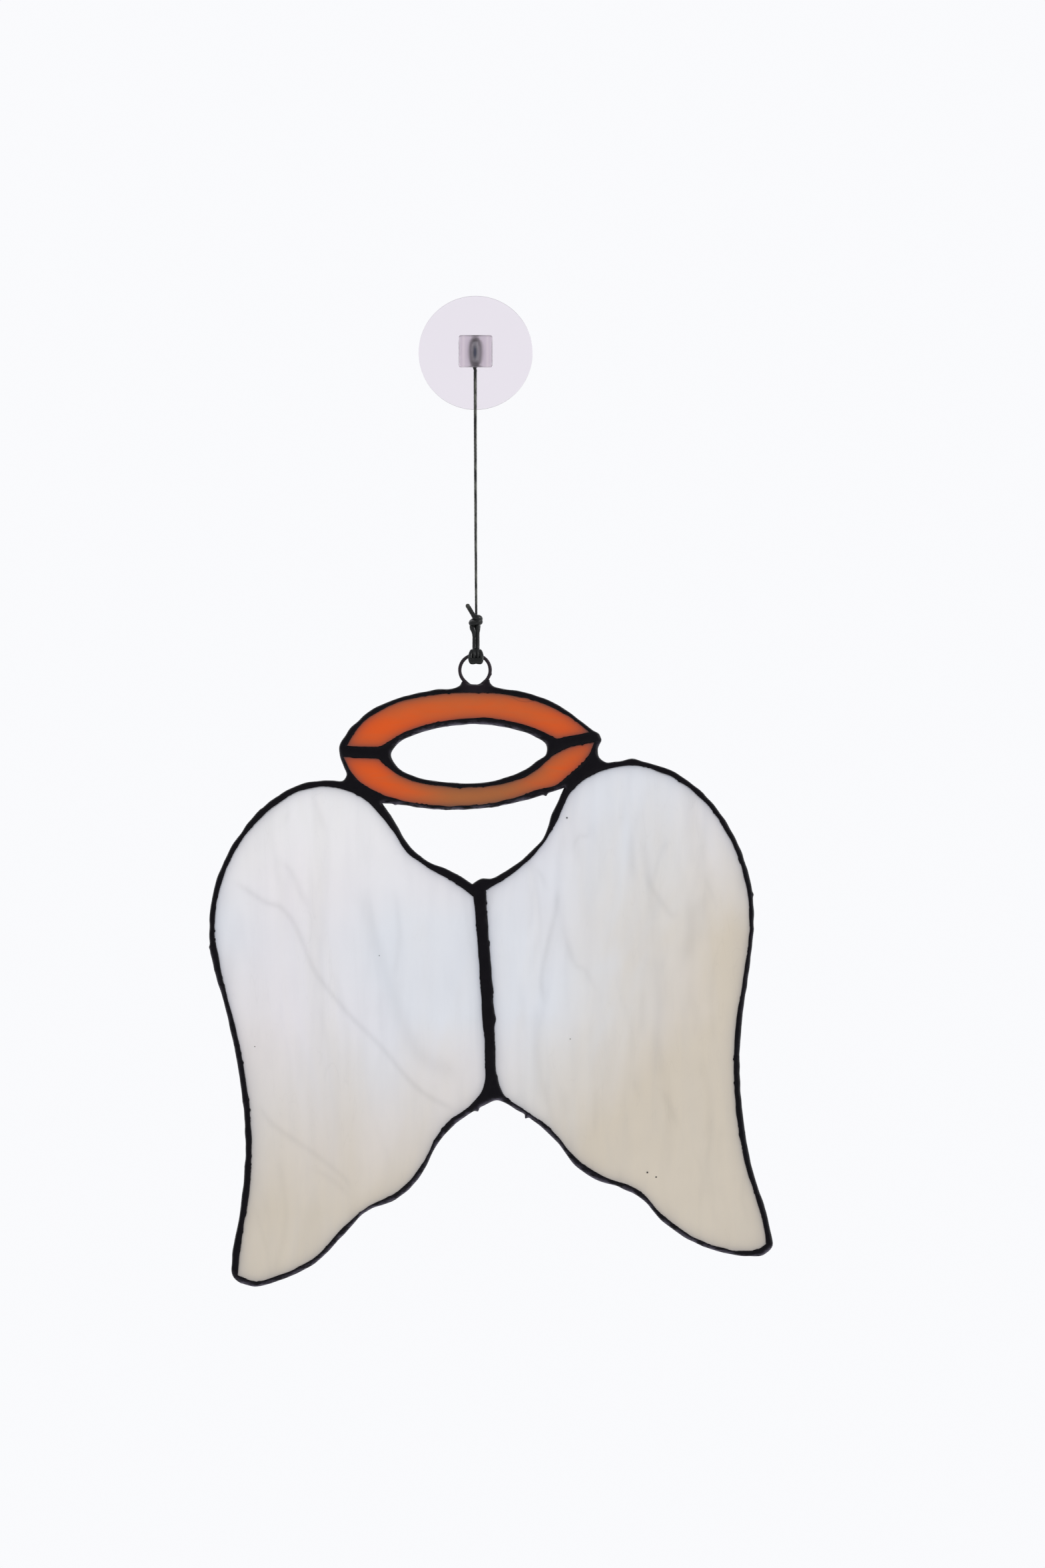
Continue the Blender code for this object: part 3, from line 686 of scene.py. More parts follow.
outer_edge = worked_edge(PANEL_OUTLINE, 11, 0.04, 0.015, PANEL_DRIPS, into_opening=False)
halo_hole = worked_edge(HALO_HOLE, 21, 0.04, 0.015)
shoulder_gap = worked_edge(SHOULDER_GAP, 31, 0.04, 0.02, GAP_DRIPS)
windows = [
    worked_edge(LEFT_WING, 41, drips=LEFT_DRIPS, rough=LEFT_ROUGH),
    worked_edge(RIGHT_WING, 51, drips=RIGHT_DRIPS, rough=RIGHT_ROUGH),
    worked_edge(HALO_UPPER, 61, drips=UPPER_DRIPS),
    worked_edge(HALO_LOWER, 71, drips=LOWER_DRIPS, rough=LOWER_ROUGH),
]
bare_edges = [outer_edge, halo_hole, shoulder_gap]
loops = bare_edges + windows
bare_count = sum(len(loop) for loop in bare_edges)
rim_count = sum(len(loop) for loop in loops)
print("places along the edges:", rim_count, "of them bare:", bare_count)

# %% Net of the seams
BARE_ROWS, WINDOW_ROWS = (0.06, 0.2, 0.42), (0.14, 0.38)
SEAM_STEP, SEAM_CLEAR = 0.5, 0.62

rows = [(outer_edge, -reach) for reach in BARE_ROWS]
rows += [(loop, reach) for loop in (halo_hole, shoulder_gap) for reach in BARE_ROWS]
rows += [(loop, reach) for loop in windows for reach in WINDOW_ROWS]
flat, triangles = even_net(loops, rows, 0.9, SEAM_STEP, SEAM_CLEAR, 5)
print("solder net:", len(flat), "places,", len(triangles), "triangles on each side")

# %% [markdown]
# The heights come next, all at once. The mound under the ring thins towards its top, because the
# solder there only runs up the wire. Where a bare edge looks down, the solder ran off while it
# was wet, so the edge is rounder there. Along these down-facing edges a lighter grey is painted,
# a painted reflection of the bright light behind and below. How far an edge looks down is the
# upright part of its normal.

# %% Heights
GLASS_HALF, LIP_OVER_GLASS = 1.35, 0.15
BEAD, BEAD_POWER, BEAD_LIMIT = 0.34, 1.15, 0.68
BEAD_WAVE, BEAD_GRAIN = 0.10, 0.022
MOUND_TOP, MOUND_FOOT, MOUND_RISE, MOUND_HALF = 1.0, -5.1, 1.5, 6
EDGE_ROUND, UNDER_ROUND = 0.62, 0.6
SHEEN_WIDTH = 0.55

held = np.arange(len(flat)) < rim_count
skin = np.sqrt(np.maximum(skin_height(flat, triangles, held), 0))
print("widest half seam, mm:", round(float(skin.max()), 2))
to_bare = distance_to(flat, bare_edges)
looks_down = [-normals(outer_edge)[:, 1], normals(halo_hole)[:, 1], normals(shoulder_gap)[:, 1]]
underside = np.clip(np.concatenate(looks_down), 0, 1)[nearest_place(flat, np.concatenate(bare_edges))]
# painted reflection: a field for a lighter grey along the bare edges that look down
rubbed = underside * np.exp(-((to_bare / SHEEN_WIDTH) ** 2))


def solder_depth(seed, share):
    """Half thickness at each place: the lip, the bead, which flattens off towards its limit,
    and a slow unevenness, all rounded off along the bare edges as a quarter of an ellipse."""
    bead = BEAD_LIMIT * np.tanh(BEAD * share * skin**BEAD_POWER / BEAD_LIMIT)
    bead *= 1 + BEAD_WAVE * ripples(flat, seed, (2.0, 9.0))
    bead += BEAD_GRAIN * ripples(flat, seed + 1, (0.9, 2.2)) * np.clip(skin, 0, 1)
    depth = GLASS_HALF + LIP_OVER_GLASS + bead
    to_ring = np.clip((flat[:, 1] - MOUND_FOOT) / MOUND_RISE, 0, 1) * (np.abs(flat[:, 0]) < MOUND_HALF)
    depth += (MOUND_TOP - depth) * (3 * to_ring**2 - 2 * to_ring**3)
    reach = np.clip(to_bare / (EDGE_ROUND * (1 + UNDER_ROUND * underside)), 0, 1)
    return depth * np.sqrt(1 - (1 - reach) ** 2)


front = solder_depth(81, 1.0)
back = solder_depth(91, 0.8)

# %% [markdown]
# Both nets share their places along the bare edges, so they are sewn together there. Round each
# pane's window four more rows of places make the channel: in under the front lip, across behind
# the pane's edge and out again to the back lip.

# %% Solder mesh
CHANNEL_DEPTH, CHANNEL_ROOM = 0.45, 0.03

count = len(flat)
places = [stand(flat, -front), stand(flat, back)]
back_of = np.arange(count) + count
back_of[:bare_count] = np.arange(bare_count)
pinched = (triangles < bare_count).all(axis=1)
faces = triangles[~pinched].tolist()
faces += back_of[triangles[~pinched]][:, ::-1].tolist()
room = GLASS_HALF + CHANNEL_ROOM
first_place = 2 * count
start = bare_count
for loop in windows:
    size = len(loop)
    deeper = grown(loop, CHANNEL_DEPTH)
    places += [stand(loop, -room), stand(deeper, -room), stand(deeper, room), stand(loop, room)]
    ring = np.arange(size)
    rows = [start + ring] + [first_place + i * size + ring for i in range(4)] + [back_of[start + ring]]
    for near_row, far_row in zip(rows, rows[1:]):
        around = [np.roll(near_row, -1), near_row, far_row, np.roll(far_row, -1)]
        faces += np.stack(around, axis=1).tolist()
    first_place += 4 * size
    start += size
# the painted reflection field on both faces, and none in the channels
rubbed_off = np.concatenate([rubbed, rubbed, np.zeros(first_place - 2 * count)])
seams = piece(
    "solder_seams", np.concatenate(places), faces, "solder_lattice", "solder", sharp=50,
    rubbed=rubbed_off,
)

# %% [markdown]
# ## Wisps and folds in the glass
# White glass is stirred into clear while both are soft, and the sheet is rolled. Where the stirred
# glass folded over on itself it stays as long curved lines, a little darker than the rest. The
# strong ones are drawn where the photograph shows them, each as a few places on a curve, with its
# width and strength. The faint ones between them run mostly up and down and are left to chance.

# %% Folds
LEFT_FOLDS = [
    (0.7, 1.0, [(-67.9, -59.0), (-59.1, -64.9), (-54.7, -66.4), (-51.2, -70.3), (-48.3, -76.2),
                (-44.8, -84.6), (-36.0, -95.8), (-26.2, -105.7), (-16.4, -117.0), (-5.1, -123.8)]),
    (2.2, 0.6, [(-31.6, -60.5), (-28.6, -74.2), (-22.8, -91.9), (-16.4, -106.7), (-4.1, -114.0)]),
    (0.7, 0.8, [(-61.1, -121.4), (-56.6, -127.3), (-46.8, -134.2), (-37.0, -142.0), (-34.0, -146.4)]),
    (0.8, 0.6, [(-46.8, -139.1), (-41.9, -141.5), (-37.5, -145.0), (-35.0, -148.4)]),
    (0.9, 0.7, [(-55.7, -52.6), (-51.7, -56.6), (-48.8, -62.5), (-45.8, -68.3)]),
    (0.8, 0.6, [(-45.8, -34.0), (-43.9, -39.9), (-41.4, -46.7)]),
    (0.8, 0.5, [(-52.2, -36.9), (-53.2, -42.8), (-55.7, -44.8)]),
]
RIGHT_FOLDS = [
    (0.7, 1.0, [(22.9, -60.7), (22.4, -67.6), (19.5, -80.3), (18.5, -88.2), (19.5, -94.1)]),
    (0.7, 0.8, [(16.0, -53.8), (18.5, -57.7), (20.5, -62.7)]),
    (0.8, 0.8, [(47.5, -55.8), (49.4, -61.2), (52.4, -65.6), (55.3, -69.0), (56.8, -66.6)]),
    (0.7, 0.7, [(53.9, -46.4), (51.4, -52.8), (49.4, -60.7)]),
    (1.8, 0.7, [(63.2, -62.7), (61.2, -68.5), (60.7, -74.4), (58.3, -82.3)]),
    (0.6, 0.6, [(63.7, -56.8), (66.1, -62.7), (68.1, -68.1)]),
    (0.8, 0.7, [(43.5, -111.8), (45.5, -120.6)]),
    (0.9, 0.7, [(51.4, -115.7), (55.3, -124.5), (57.3, -129.4)]),
    (0.8, 0.6, [(33.2, -114.7), (33.7, -121.6), (33.2, -131.4)]),
    (0.6, 0.6, [(26.8, -51.9), (28.8, -46.9), (31.8, -46.4), (31.3, -43.0)]),
    (0.7, 0.6, [(25.4, -74.4), (27.8, -82.3), (30.8, -84.3), (34.2, -91.1)]),
    (2.2, 0.5, [(49.9, -78.4), (51.4, -92.1), (50.9, -106.8), (51.4, -115.7)]),
    (0.6, 0.5, [(67.1, -78.4), (66.1, -92.1), (66.6, -104.9)]),
]
FOLD_STEP, FOLD_FADE = 0.4, 4.0


def drawn_lines(places, lines):
    """The sum over lines of strength times exp(-(distance / width) squared), fading at both ends."""
    total = np.zeros(len(places))
    for width, strength, route in lines:
        path = curve_through(route, FOLD_STEP)
        nearest = nearest_place(places, path)
        from_end = np.minimum(nearest, len(path) - 1 - nearest) * FOLD_STEP
        away = np.linalg.norm(places - path[nearest], axis=1)
        total += strength * np.clip(from_end / FOLD_FADE, 0, 1) * np.exp(-((away / width) ** 2))
    return total


def chance_wisps(loop, seed, number):
    """Faint lines that start anywhere in the loop's box, run down and bow a little to one side."""
    draw = np.random.default_rng(seed)
    made = []
    for _ in range(number):
        x, z = draw.uniform(loop.min(axis=0), loop.max(axis=0))
        length = draw.uniform(12.0, 45.0)
        lean, bow = draw.uniform(-0.12, 0.12, 2) * length
        route = [(x, z + length / 2), (x + lean / 2 + bow, z), (x + lean, z - length / 2)]
        made.append((draw.uniform(0.5, 1.3), draw.uniform(0.15, 0.5), route))
    return made


# %% [markdown]
# ## Glass
# Each pane is a flat sheet of rolled glass. Rolled glass isn't optically flat: its two faces wander
# by a few hundredths of a millimetre over a centimetre or so, which shows only where something is
# reflected. Light also travels sideways in milky glass, and near a seam the solder takes it up, so
# a pane is darker along its edge. That is the soaked form of the same equation. How well lit each
# place is and the strength of the folds there go with the mesh, as fields for the finish to read.

# %% Panes
FOIL_LIP = 0.4
PANE_EDGE_STEP, PANE_STEP = 0.7, 0.8
PANE_ROWS, PANE_CLEAR = (0.35, 0.75, 1.25, 1.9), 2.35
FACE_WAVE, FACE_LENGTHS = 0.012, (5.0, 26.0)
LIGHT_REACH = 1.1


def glass_pane(name, outline, stands_for, finish, seed, folds=(), wisps=0):
    """A closed sheet: two nets over one outline, half the thickness and a slow wave apart from
    the middle, joined by a wall round the edge."""
    loop = grown(smooth_loop(outline, PANE_EDGE_STEP), FOIL_LIP)
    rows = [(loop, -reach) for reach in PANE_ROWS]
    flat, triangles = even_net([loop], rows, 0.95, PANE_STEP, PANE_CLEAR, seed)
    load = 1 / LIGHT_REACH**2
    lit = skin_height(flat, triangles, np.arange(len(flat)) < len(loop), load, load)
    fold = drawn_lines(flat, list(folds) + chance_wisps(loop, seed + 2, wisps))
    front = GLASS_HALF + FACE_WAVE * ripples(flat, seed, FACE_LENGTHS)
    back = GLASS_HALF + FACE_WAVE * ripples(flat, seed + 1, FACE_LENGTHS)
    places = np.concatenate([stand(flat, -front), stand(flat, back)])
    ring = np.arange(len(loop))
    beside = np.roll(ring, -1)
    wall = np.stack([ring, beside, beside + len(flat), ring + len(flat)], axis=1)
    faces = triangles.tolist() + (triangles[:, ::-1] + len(flat)).tolist() + wall.tolist()
    fields = {"lit": np.tile(lit, 2), "fold": np.tile(fold, 2)}
    return piece(name, places, faces, stands_for, finish, sharp=40, **fields)


left_wing = glass_pane(
    "left_wing_pane", LEFT_WING, "left_wing_glass", "white_glass", 101, LEFT_FOLDS, 22
)
right_wing = glass_pane(
    "right_wing_pane", RIGHT_WING, "right_wing_glass", "white_glass", 111, RIGHT_FOLDS, 60
)
upper_halo = glass_pane("upper_halo_pane", HALO_UPPER, "halo_upper_glass", "orange_glass", 121)
lower_halo = glass_pane("lower_halo_pane", HALO_LOWER, "halo_lower_glass", "orange_glass", 131)

# %% [markdown]
# ## The hanging ring
# A jump ring of 1 mm wire, tinned and darkened with the rest. It is a circle carried round a
# circle. Its foot is sunk in the mound of solder, so the wire is drawn in there to stay hidden,
# and a small blob of solder stands out on its right side.

# %% Ring
RING_X, RING_DIAMETER, RING_WIRE = -0.15, 9.5, 1.0
RING_STEPS, WIRE_STEPS = 140, 20
FOOT_ANGLE, FOOT_REACH, FOOT_DRAWN_IN = 1.5 * np.pi, 0.52, 0.6
BLOB_ANGLE, BLOB_REACH, BLOB_HEIGHT = math.radians(-14.5), 0.06, 0.16


def turned_from(angle, middle):
    """How far an angle is turned from a middle, within half a turn each way."""
    return (angle - middle + np.pi) % (2 * np.pi) - np.pi


turn = np.linspace(0, 2 * np.pi, RING_STEPS, endpoint=False)[:, None]
around = np.linspace(0, 2 * np.pi, WIRE_STEPS, endpoint=False)[None, :]
foot_near = np.exp(-((turned_from(turn, FOOT_ANGLE) / FOOT_REACH) ** 4))
blob = BLOB_HEIGHT * np.exp(-((turned_from(turn, BLOB_ANGLE) / BLOB_REACH) ** 2))
uneven = 0.02 * np.sin(5 * turn + 1) + 0.015 * np.sin(11 * turn)
wire = RING_WIRE / 2 * (0.97 + uneven - FOOT_DRAWN_IN * foot_near) + blob * np.clip(np.cos(around), 0, 1)
from_middle = (RING_DIAMETER - RING_WIRE) / 2 + wire * np.cos(around)
ring_grid = np.stack(
    [
        RING_X + from_middle * np.cos(turn),
        PANEL_Y + wire * np.sin(around),
        RING_Z + from_middle * np.sin(turn),
    ],
    axis=-1,
)
ring_faces = grid_faces(RING_STEPS + 1, WIRE_STEPS) % (RING_STEPS * WIRE_STEPS)
ring = piece("ring_wire", ring_grid.reshape(-1, 3), ring_faces.tolist(), "hanging_ring", "ring_wire")

# %% [markdown]
# ## The window hanger
# One clear moulding: a flat disc that sticks to the window, a thin neck for the cord and a block
# that keeps it from slipping off. Every slice square to its axis is a rectangle with round
# corners, and a circle is such a rectangle too, so the whole moulding is one list of slices. The
# block's upright edges are rounded more than the others, and bend the light into bands, which its
# finish also paints as painted light.

# %% Slices
AROUND = 120


def slice_at(half_width, half_height, corner):
    """Even places round a rectangle with round corners, from the right side up: each corner is
    a quarter circle, whose middle jumps to the next corner where its cosine or sine turns over."""
    angle = np.linspace(0, 2 * np.pi, 721)
    circle = np.stack([np.cos(angle), np.sin(angle)], axis=1)
    middle = np.array([half_width, half_height]) - corner
    return evenly(middle * np.clip(circle * 1e3, -1, 1) + corner * circle, AROUND, endpoint=False)


def across_face(depth, start, end, shares):
    """Slices across a flat face: sizes that go from the start's to the end's by some shares."""
    sizes = start + (end - start) * np.array(shares)[:, None]
    return np.insert(sizes, 0, depth, axis=1)


def round_edge(face, rise, full, cut, steps):
    """Slices round an edge along a quarter of an ellipse. A rise leads away from a face, where
    the cut is off the full sizes, to where they are full, and a negative one leads back to it."""
    angle = np.linspace(0, np.pi / 2, steps)
    if rise < 0:
        angle = angle[::-1]
    sizes = full - np.outer(1 - np.sin(angle), cut)
    return np.insert(sizes, 0, face + rise * (1 - np.cos(angle)), axis=1)


# %% Hanger
NOTHING = np.zeros(3)
DISC, DISC_THICK, DISC_EDGE = np.full(3, 16.0), 1.4, 0.15
NECK, FOOT, FILLET = np.array([0.6, 2.65, 0.5]), np.array([1.0, 3.05, 0.8]), 0.4
HEAD, HEAD_BACK, HEAD_FRONT = np.array([4.7, 4.5, 0.55]), 5.3, 7.5
HEAD_SIDE_ROUND, HEAD_TOP_ROUND = 1.0, 0.4

disc_cut = np.full(3, DISC_EDGE)
neck_cut = -FILLET * np.array([1, 1, 0.5])
head_cut = np.array([HEAD_SIDE_ROUND, HEAD_TOP_ROUND, 0])
behind_head = np.array([*FOOT[:2], HEAD[2]])
slices = np.concatenate([
    across_face(0.0, NOTHING, DISC, (0.3, 0.65, 0.9)),
    round_edge(0.0, DISC_EDGE, DISC, disc_cut, 5),
    round_edge(DISC_THICK, -DISC_EDGE, DISC, disc_cut, 5),
    across_face(DISC_THICK, 0.97 * DISC, FOOT, (0.15, 0.35, 0.55, 0.75, 1.0)),
    round_edge(DISC_THICK, FILLET, NECK, neck_cut, 5)[1:],
    round_edge(HEAD_BACK, -FILLET, NECK, neck_cut, 5),
    across_face(HEAD_BACK, behind_head, HEAD - head_cut, (0.3, 0.6, 0.9)),
    round_edge(HEAD_BACK, HEAD_TOP_ROUND, HEAD, head_cut, 7),
    round_edge(HEAD_FRONT, -HEAD_SIDE_ROUND, HEAD, head_cut, 9),
    across_face(HEAD_FRONT, NOTHING, HEAD - head_cut, (0.85, 0.6, 0.3)),
])
moulding = np.empty((len(slices), AROUND, 3))
for row, (depth, *sizes) in zip(moulding, slices):
    row[:, [0, 2]] = slice_at(*sizes)
    row[:, 1] = -depth
closed = capped(moulding, (0.0, 0.0, 0.0), (0.0, -HEAD_FRONT, 0.0))
hanger = piece("hanger_moulding", *closed, "window_hanger", "clear_plastic", sharp=40)

# %% [markdown]
# ## Finishes
# Every finish is a small tree of nodes on Blender's Principled shader. A pattern reads Object
# coordinates, which are metres here, so a noise of scale 250 has grains about 4 mm wide. What is
# the same all over a surface, such as how much light goes through, is set on the shader itself.


# %% Node helpers
class Nodes:
    """The nodes of a material or of the world, with short ways to add what it needs."""

    def __init__(self, owner, shader, coordinates):
        owner.use_nodes = True
        self.nodes = owner.node_tree.nodes
        self.links = owner.node_tree.links
        self.shader = self.nodes[shader]
        self.place = self.nodes.new("ShaderNodeTexCoord").outputs[coordinates]

    def node(self, kind, inputs, output=0, **settings):
        made = self.nodes.new("ShaderNode" + kind)
        for key, value in settings.items():
            setattr(made, key, value)
        for key, value in inputs.items():
            if isinstance(value, bpy.types.NodeSocket):
                self.links.new(value, made.inputs[key])
            else:
                made.inputs[key].default_value = value
        return made.outputs[output]

    def set(self, socket, value):
        self.links.new(value, self.shader.inputs[socket])

    def math(self, operation, first, second=0.0):
        return self.node("Math", {0: first, 1: second}, operation=operation)

    def times(self, first, second):
        return self.math("MULTIPLY", first, second)

    def plus(self, first, second):
        return self.math("ADD", first, second)

    def rest_of(self, share):
        return self.math("SUBTRACT", 1.0, share)

    def off(self, value, middle):
        """How far a value is from the middle."""
        return self.math("ABSOLUTE", self.math("SUBTRACT", value, middle))

    def mix(self, share, first, second):
        return self.node("Mix", {0: share, 6: first, 7: second}, output=2, data_type="RGBA")

    def between(self, value, low, high, to_low=0.0, to_high=1.0, **settings):
        inputs = {0: value, 1: low, 2: high, 3: to_low, 4: to_high}
        return self.node("MapRange", inputs, **settings)

    def axis(self, which):
        return self.node("SeparateXYZ", {0: self.place}, output="XYZ".index(which))

    def moved(self, scale=(1, 1, 1), turn=(0, 0, 0)):
        return self.node("Mapping", {"Vector": self.place, "Scale": scale, "Rotation": turn})

    def noise(self, scale, detail=3.0, vector=None, distortion=0.0):
        inputs = {"Vector": vector or self.place, "Scale": scale, "Detail": detail}
        return self.node("TexNoise", inputs | {"Distortion": distortion, "Roughness": 0.55})


# %% Finish helper
class Finish(Nodes):
    """A material for pieces, whose shader takes the values that are the same all over."""

    def __init__(self, name, **settings):
        self.material = bpy.data.materials.new(name)
        super().__init__(self.material, "Principled BSDF", "Object")
        for socket, value in settings.items():
            self.shader.inputs[socket.replace("_", " ")].default_value = value

    def attribute(self, name):
        """A field of the piece itself."""
        return self.node("Attribute", {}, output=2, attribute_name=name)

    def line_at(self, value, middle, half_width):
        """1 where a value is at the middle, falling to 0 at half a width from it."""
        return self.between(self.off(value, middle), half_width, 0.0)

    def away_from(self, place, vector=None):
        """How far each point is from a place, on the object or on a stretched copy of it."""
        inputs = {0: vector or self.place, 1: place}
        return self.node("VectorMath", inputs, output=1, operation="DISTANCE")

    def spot(self, place, radius, edge=0.4):
        """1 within a radius in metres of a place, and 0 outside it."""
        return self.between(self.away_from(place), radius * (1 + edge), radius * (1 - edge))

    def bump(self, height, distance, strength):
        self.set("Normal", self.node("Bump", {"Height": height, "Distance": distance, "Strength": strength}))

    def on(self, *pieces):
        for made in pieces:
            made.data.materials.clear()
            made.data.materials.append(self.material)
        print(f"{self.material.name}: {len(self.nodes)} nodes, on", *(made.name for made in pieces))


def colour(red, green, blue):
    return (red, green, blue, 1.0)


BLACK = colour(0.0, 0.0, 0.0)

# %% [markdown]
# ### Black patina
# Patina turns bright solder nearly black with a violet cast. It is a dull crust, so the metal's own
# shine hardly shows. Where the edges look down, a streaky grey is painted on as a painted
# reflection of the bright light behind, and the mound under the ring is a little lighter and redder.

# %% Solder finish
RING_FOOT, FOOT_RADIUS = (RING_X * MM, PANEL_Y * MM, (RING_Z - 4.0) * MM), 0.0036

patina = Finish("black_patina", Metallic=0.0, Specular_IOR_Level=0.12)
cloud = patina.noise(140.0, 4.0)
grain = patina.noise(900.0, 3.0)
crust = patina.mix(cloud, colour(0.0022, 0.0018, 0.0040), colour(0.0075, 0.0060, 0.0090))
# painted reflection: streaky lighter grey on the down-facing bare edges
sheen_grey = patina.mix(grain, colour(0.06, 0.05, 0.08), colour(0.24, 0.22, 0.29))
streaks = patina.between(patina.noise(750.0, 4.0, patina.moved((0.45, 1.0, 1.0))), 0.40, 0.58)
rubbed_share = patina.times(patina.attribute("rubbed"), streaks)
crust = patina.mix(patina.spot(RING_FOOT, FOOT_RADIUS, 0.6), crust, colour(0.020, 0.014, 0.020))
patina.set("Base Color", patina.mix(rubbed_share, crust, sheen_grey))
patina.set("Roughness", patina.between(grain, 0.3, 0.7, 0.32, 0.52))
patina.bump(grain, 0.00006, 0.5)
patina.on(seams)

# %% [markdown]
# ### Tinned wire
# The ring has the same patina over tinned wire. Its surface is smoother than brushed solder, so it
# shines more, and it is a little redder.

# %% Ring finish
dark_wire = Finish("tinned_wire", Metallic=0.0, Specular_IOR_Level=0.3)
cloud = dark_wire.noise(260.0, 3.0)
dark_wire.set("Base Color", dark_wire.mix(cloud, colour(0.014, 0.009, 0.018), colour(0.034, 0.022, 0.028)))
dark_wire.set("Roughness", dark_wire.between(dark_wire.noise(1500.0), 0.3, 0.7, 0.28, 0.42))
dark_wire.bump(dark_wire.noise(1200.0), 0.00004, 0.4)
dark_wire.on(ring)

# %% [markdown]
# ### Milky wing glass
# Opalescent glass has white glass stirred into clear, so it lets nearly all light through but
# blurs what is behind it, which is a rough transmission. It wanders between a cool and a rosy
# white, is whitest at the top of the left wing, and turns to cream at both tips and towards the
# right. The drawn folds darken it a little, and so do fine upright wisps and hair-thin threads,
# which are the level lines of a stretched noise. Small dark specks are dirt from the melt.

# %% White and cream
milky = Finish("milky_wispy_glass", Transmission_Weight=0.96, IOR=1.5)
stirred = milky.noise(24.0, 3.0, milky.moved((1.6, 1.0, 0.55), (0, 0.25, 0)), distortion=1.6)
broad = milky.noise(14.0, 1.0)
clean = milky.mix(milky.between(broad, 0.4, 0.6), colour(0.870, 0.895, 0.945), colour(0.930, 0.880, 0.900))
on_left = milky.between(milky.axis("X"), 0.0, -0.02)
white = milky.times(on_left, milky.between(milky.axis("Z"), -0.165, -0.128, 0.0, 0.8))
white = milky.plus(white, milky.between(stirred, 0.35, 0.65, 0.0, 0.4))
clean = milky.mix(white, clean, colour(0.99, 0.98, 0.99))
to_right = milky.between(milky.axis("X"), 0.012, 0.072)
cream = milky.times(to_right, milky.between(milky.axis("Z"), -0.120, -0.165))
cream = milky.plus(cream, milky.between(milky.axis("Z"), -0.185, -0.241))
cream = milky.plus(cream, milky.between(stirred, 0.3, 0.7, -0.12, 0.12))
clean = milky.mix(cream, clean, colour(0.78, 0.70, 0.58))

# %% Wisps, threads and specks
UPRIGHT_SHARE, FOLD_SHARE, HAIR_SHARE, EDGE_SHARE = 0.09, 0.11, 0.06, 0.6
SPECKS = [
    (25.6, -130.8, 0.28), (48.05, -230.0, 0.30), (50.5, -231.3, 0.26), (26.5, -192.7, 0.16),
    (-61.7, -194.8, 0.16), (-26.9, -169.4, 0.15),
]

upright = milky.noise(110.0, 3.0, milky.moved((2.2, 1.0, 0.28), (0, 0.06, 0)), distortion=0.8)
clean = milky.mix(milky.between(upright, 0.42, 0.68, 0.0, UPRIGHT_SHARE), clean, colour(0.40, 0.42, 0.48))
thread = milky.noise(62.0, 2.0, milky.moved((2.4, 1.0, 0.4), (0, -0.1, 0)), distortion=2.0)
hair = milky.times(milky.line_at(thread, 0.5, 0.012), milky.between(stirred, 0.4, 0.6))
darker = milky.plus(milky.times(milky.attribute("fold"), FOLD_SHARE), milky.times(hair, HAIR_SHARE))
clean = milky.mix(darker, clean, colour(0.0, 0.0, 0.01))
unlit = milky.rest_of(milky.attribute("lit"))
clean = milky.mix(milky.times(unlit, EDGE_SHARE), clean, colour(0.10, 0.12, 0.20))
for x, z, radius in SPECKS:
    front_face = (x * MM, (PANEL_Y - GLASS_HALF) * MM, z * MM)
    clean = milky.mix(milky.spot(front_face, radius * MM), clean, BLACK)
milky.set("Base Color", clean)
milky.set("Roughness", milky.between(stirred, 0.3, 0.7, 0.38, 0.5))
milky.bump(milky.noise(60.0, 2.0), 0.00004, 0.2)
milky.on(left_wing, right_wing)

# %% [markdown]
# ### Streaky orange glass
# The halo's glass is orange with a brown cloud in the middle of its lower half, and browner
# towards the outer side of its upper half. Fine streaks run along the sheet, and one thin curved
# scratch lies in the upper half. Near the seams less light comes through, so it goes dark brown.

# %% Halo finish
HALO_MIDDLE_Z = (RING_Z - 23.2) * MM
CLOUD_X, CLOUD_REACH, CLOUD_FULL = 0.001, 0.026, 0.006
SCRATCH_MIDDLE, SCRATCH_RADIUS, SCRATCH_HALF = (0.0143, 0.0, -0.0918), 0.0065, 0.00013
SCRATCH_SHARE = 0.5

orange = Finish("streaky_orange_glass", Transmission_Weight=0.95, IOR=1.5)
height = orange.math("SUBTRACT", orange.axis("Z"), HALO_MIDDLE_Z)
lower_half = orange.between(height, 0.0005, -0.0005)
cloud_at = orange.between(orange.off(orange.axis("X"), CLOUD_X), CLOUD_REACH, CLOUD_FULL)
outer_side = orange.between(height, 0.008, 0.018, 0.0, 0.5)
streak = orange.noise(60.0, 4.0, orange.moved((0.6, 1.0, 3.2), (0, 0.1, 0)), distortion=1.2)
brown_share = orange.plus(orange.times(lower_half, cloud_at), outer_side)
brown_share = orange.plus(brown_share, orange.between(streak, 0.32, 0.68, -0.18, 0.30))
warm = orange.mix(brown_share, colour(0.82, 0.102, 0.003), colour(0.50, 0.150, 0.034))
circle = orange.away_from(SCRATCH_MIDDLE, orange.moved((1, 0, 1)))
low_side = orange.between(orange.axis("Z"), -0.0955, -0.0965)
scratch = orange.times(orange.line_at(circle, SCRATCH_RADIUS, SCRATCH_HALF), low_side)
warm = orange.mix(orange.times(scratch, SCRATCH_SHARE), warm, colour(0.10, 0.02, 0.01))
warm = orange.mix(orange.rest_of(orange.attribute("lit")), warm, colour(0.04, 0.04, 0.045))
orange.set("Base Color", warm)
orange.set("Roughness", orange.between(streak, 0.3, 0.7, 0.3, 0.4))
orange.bump(orange.noise(60.0, 2.0), 0.00004, 0.2)
orange.on(upper_halo, lower_halo)
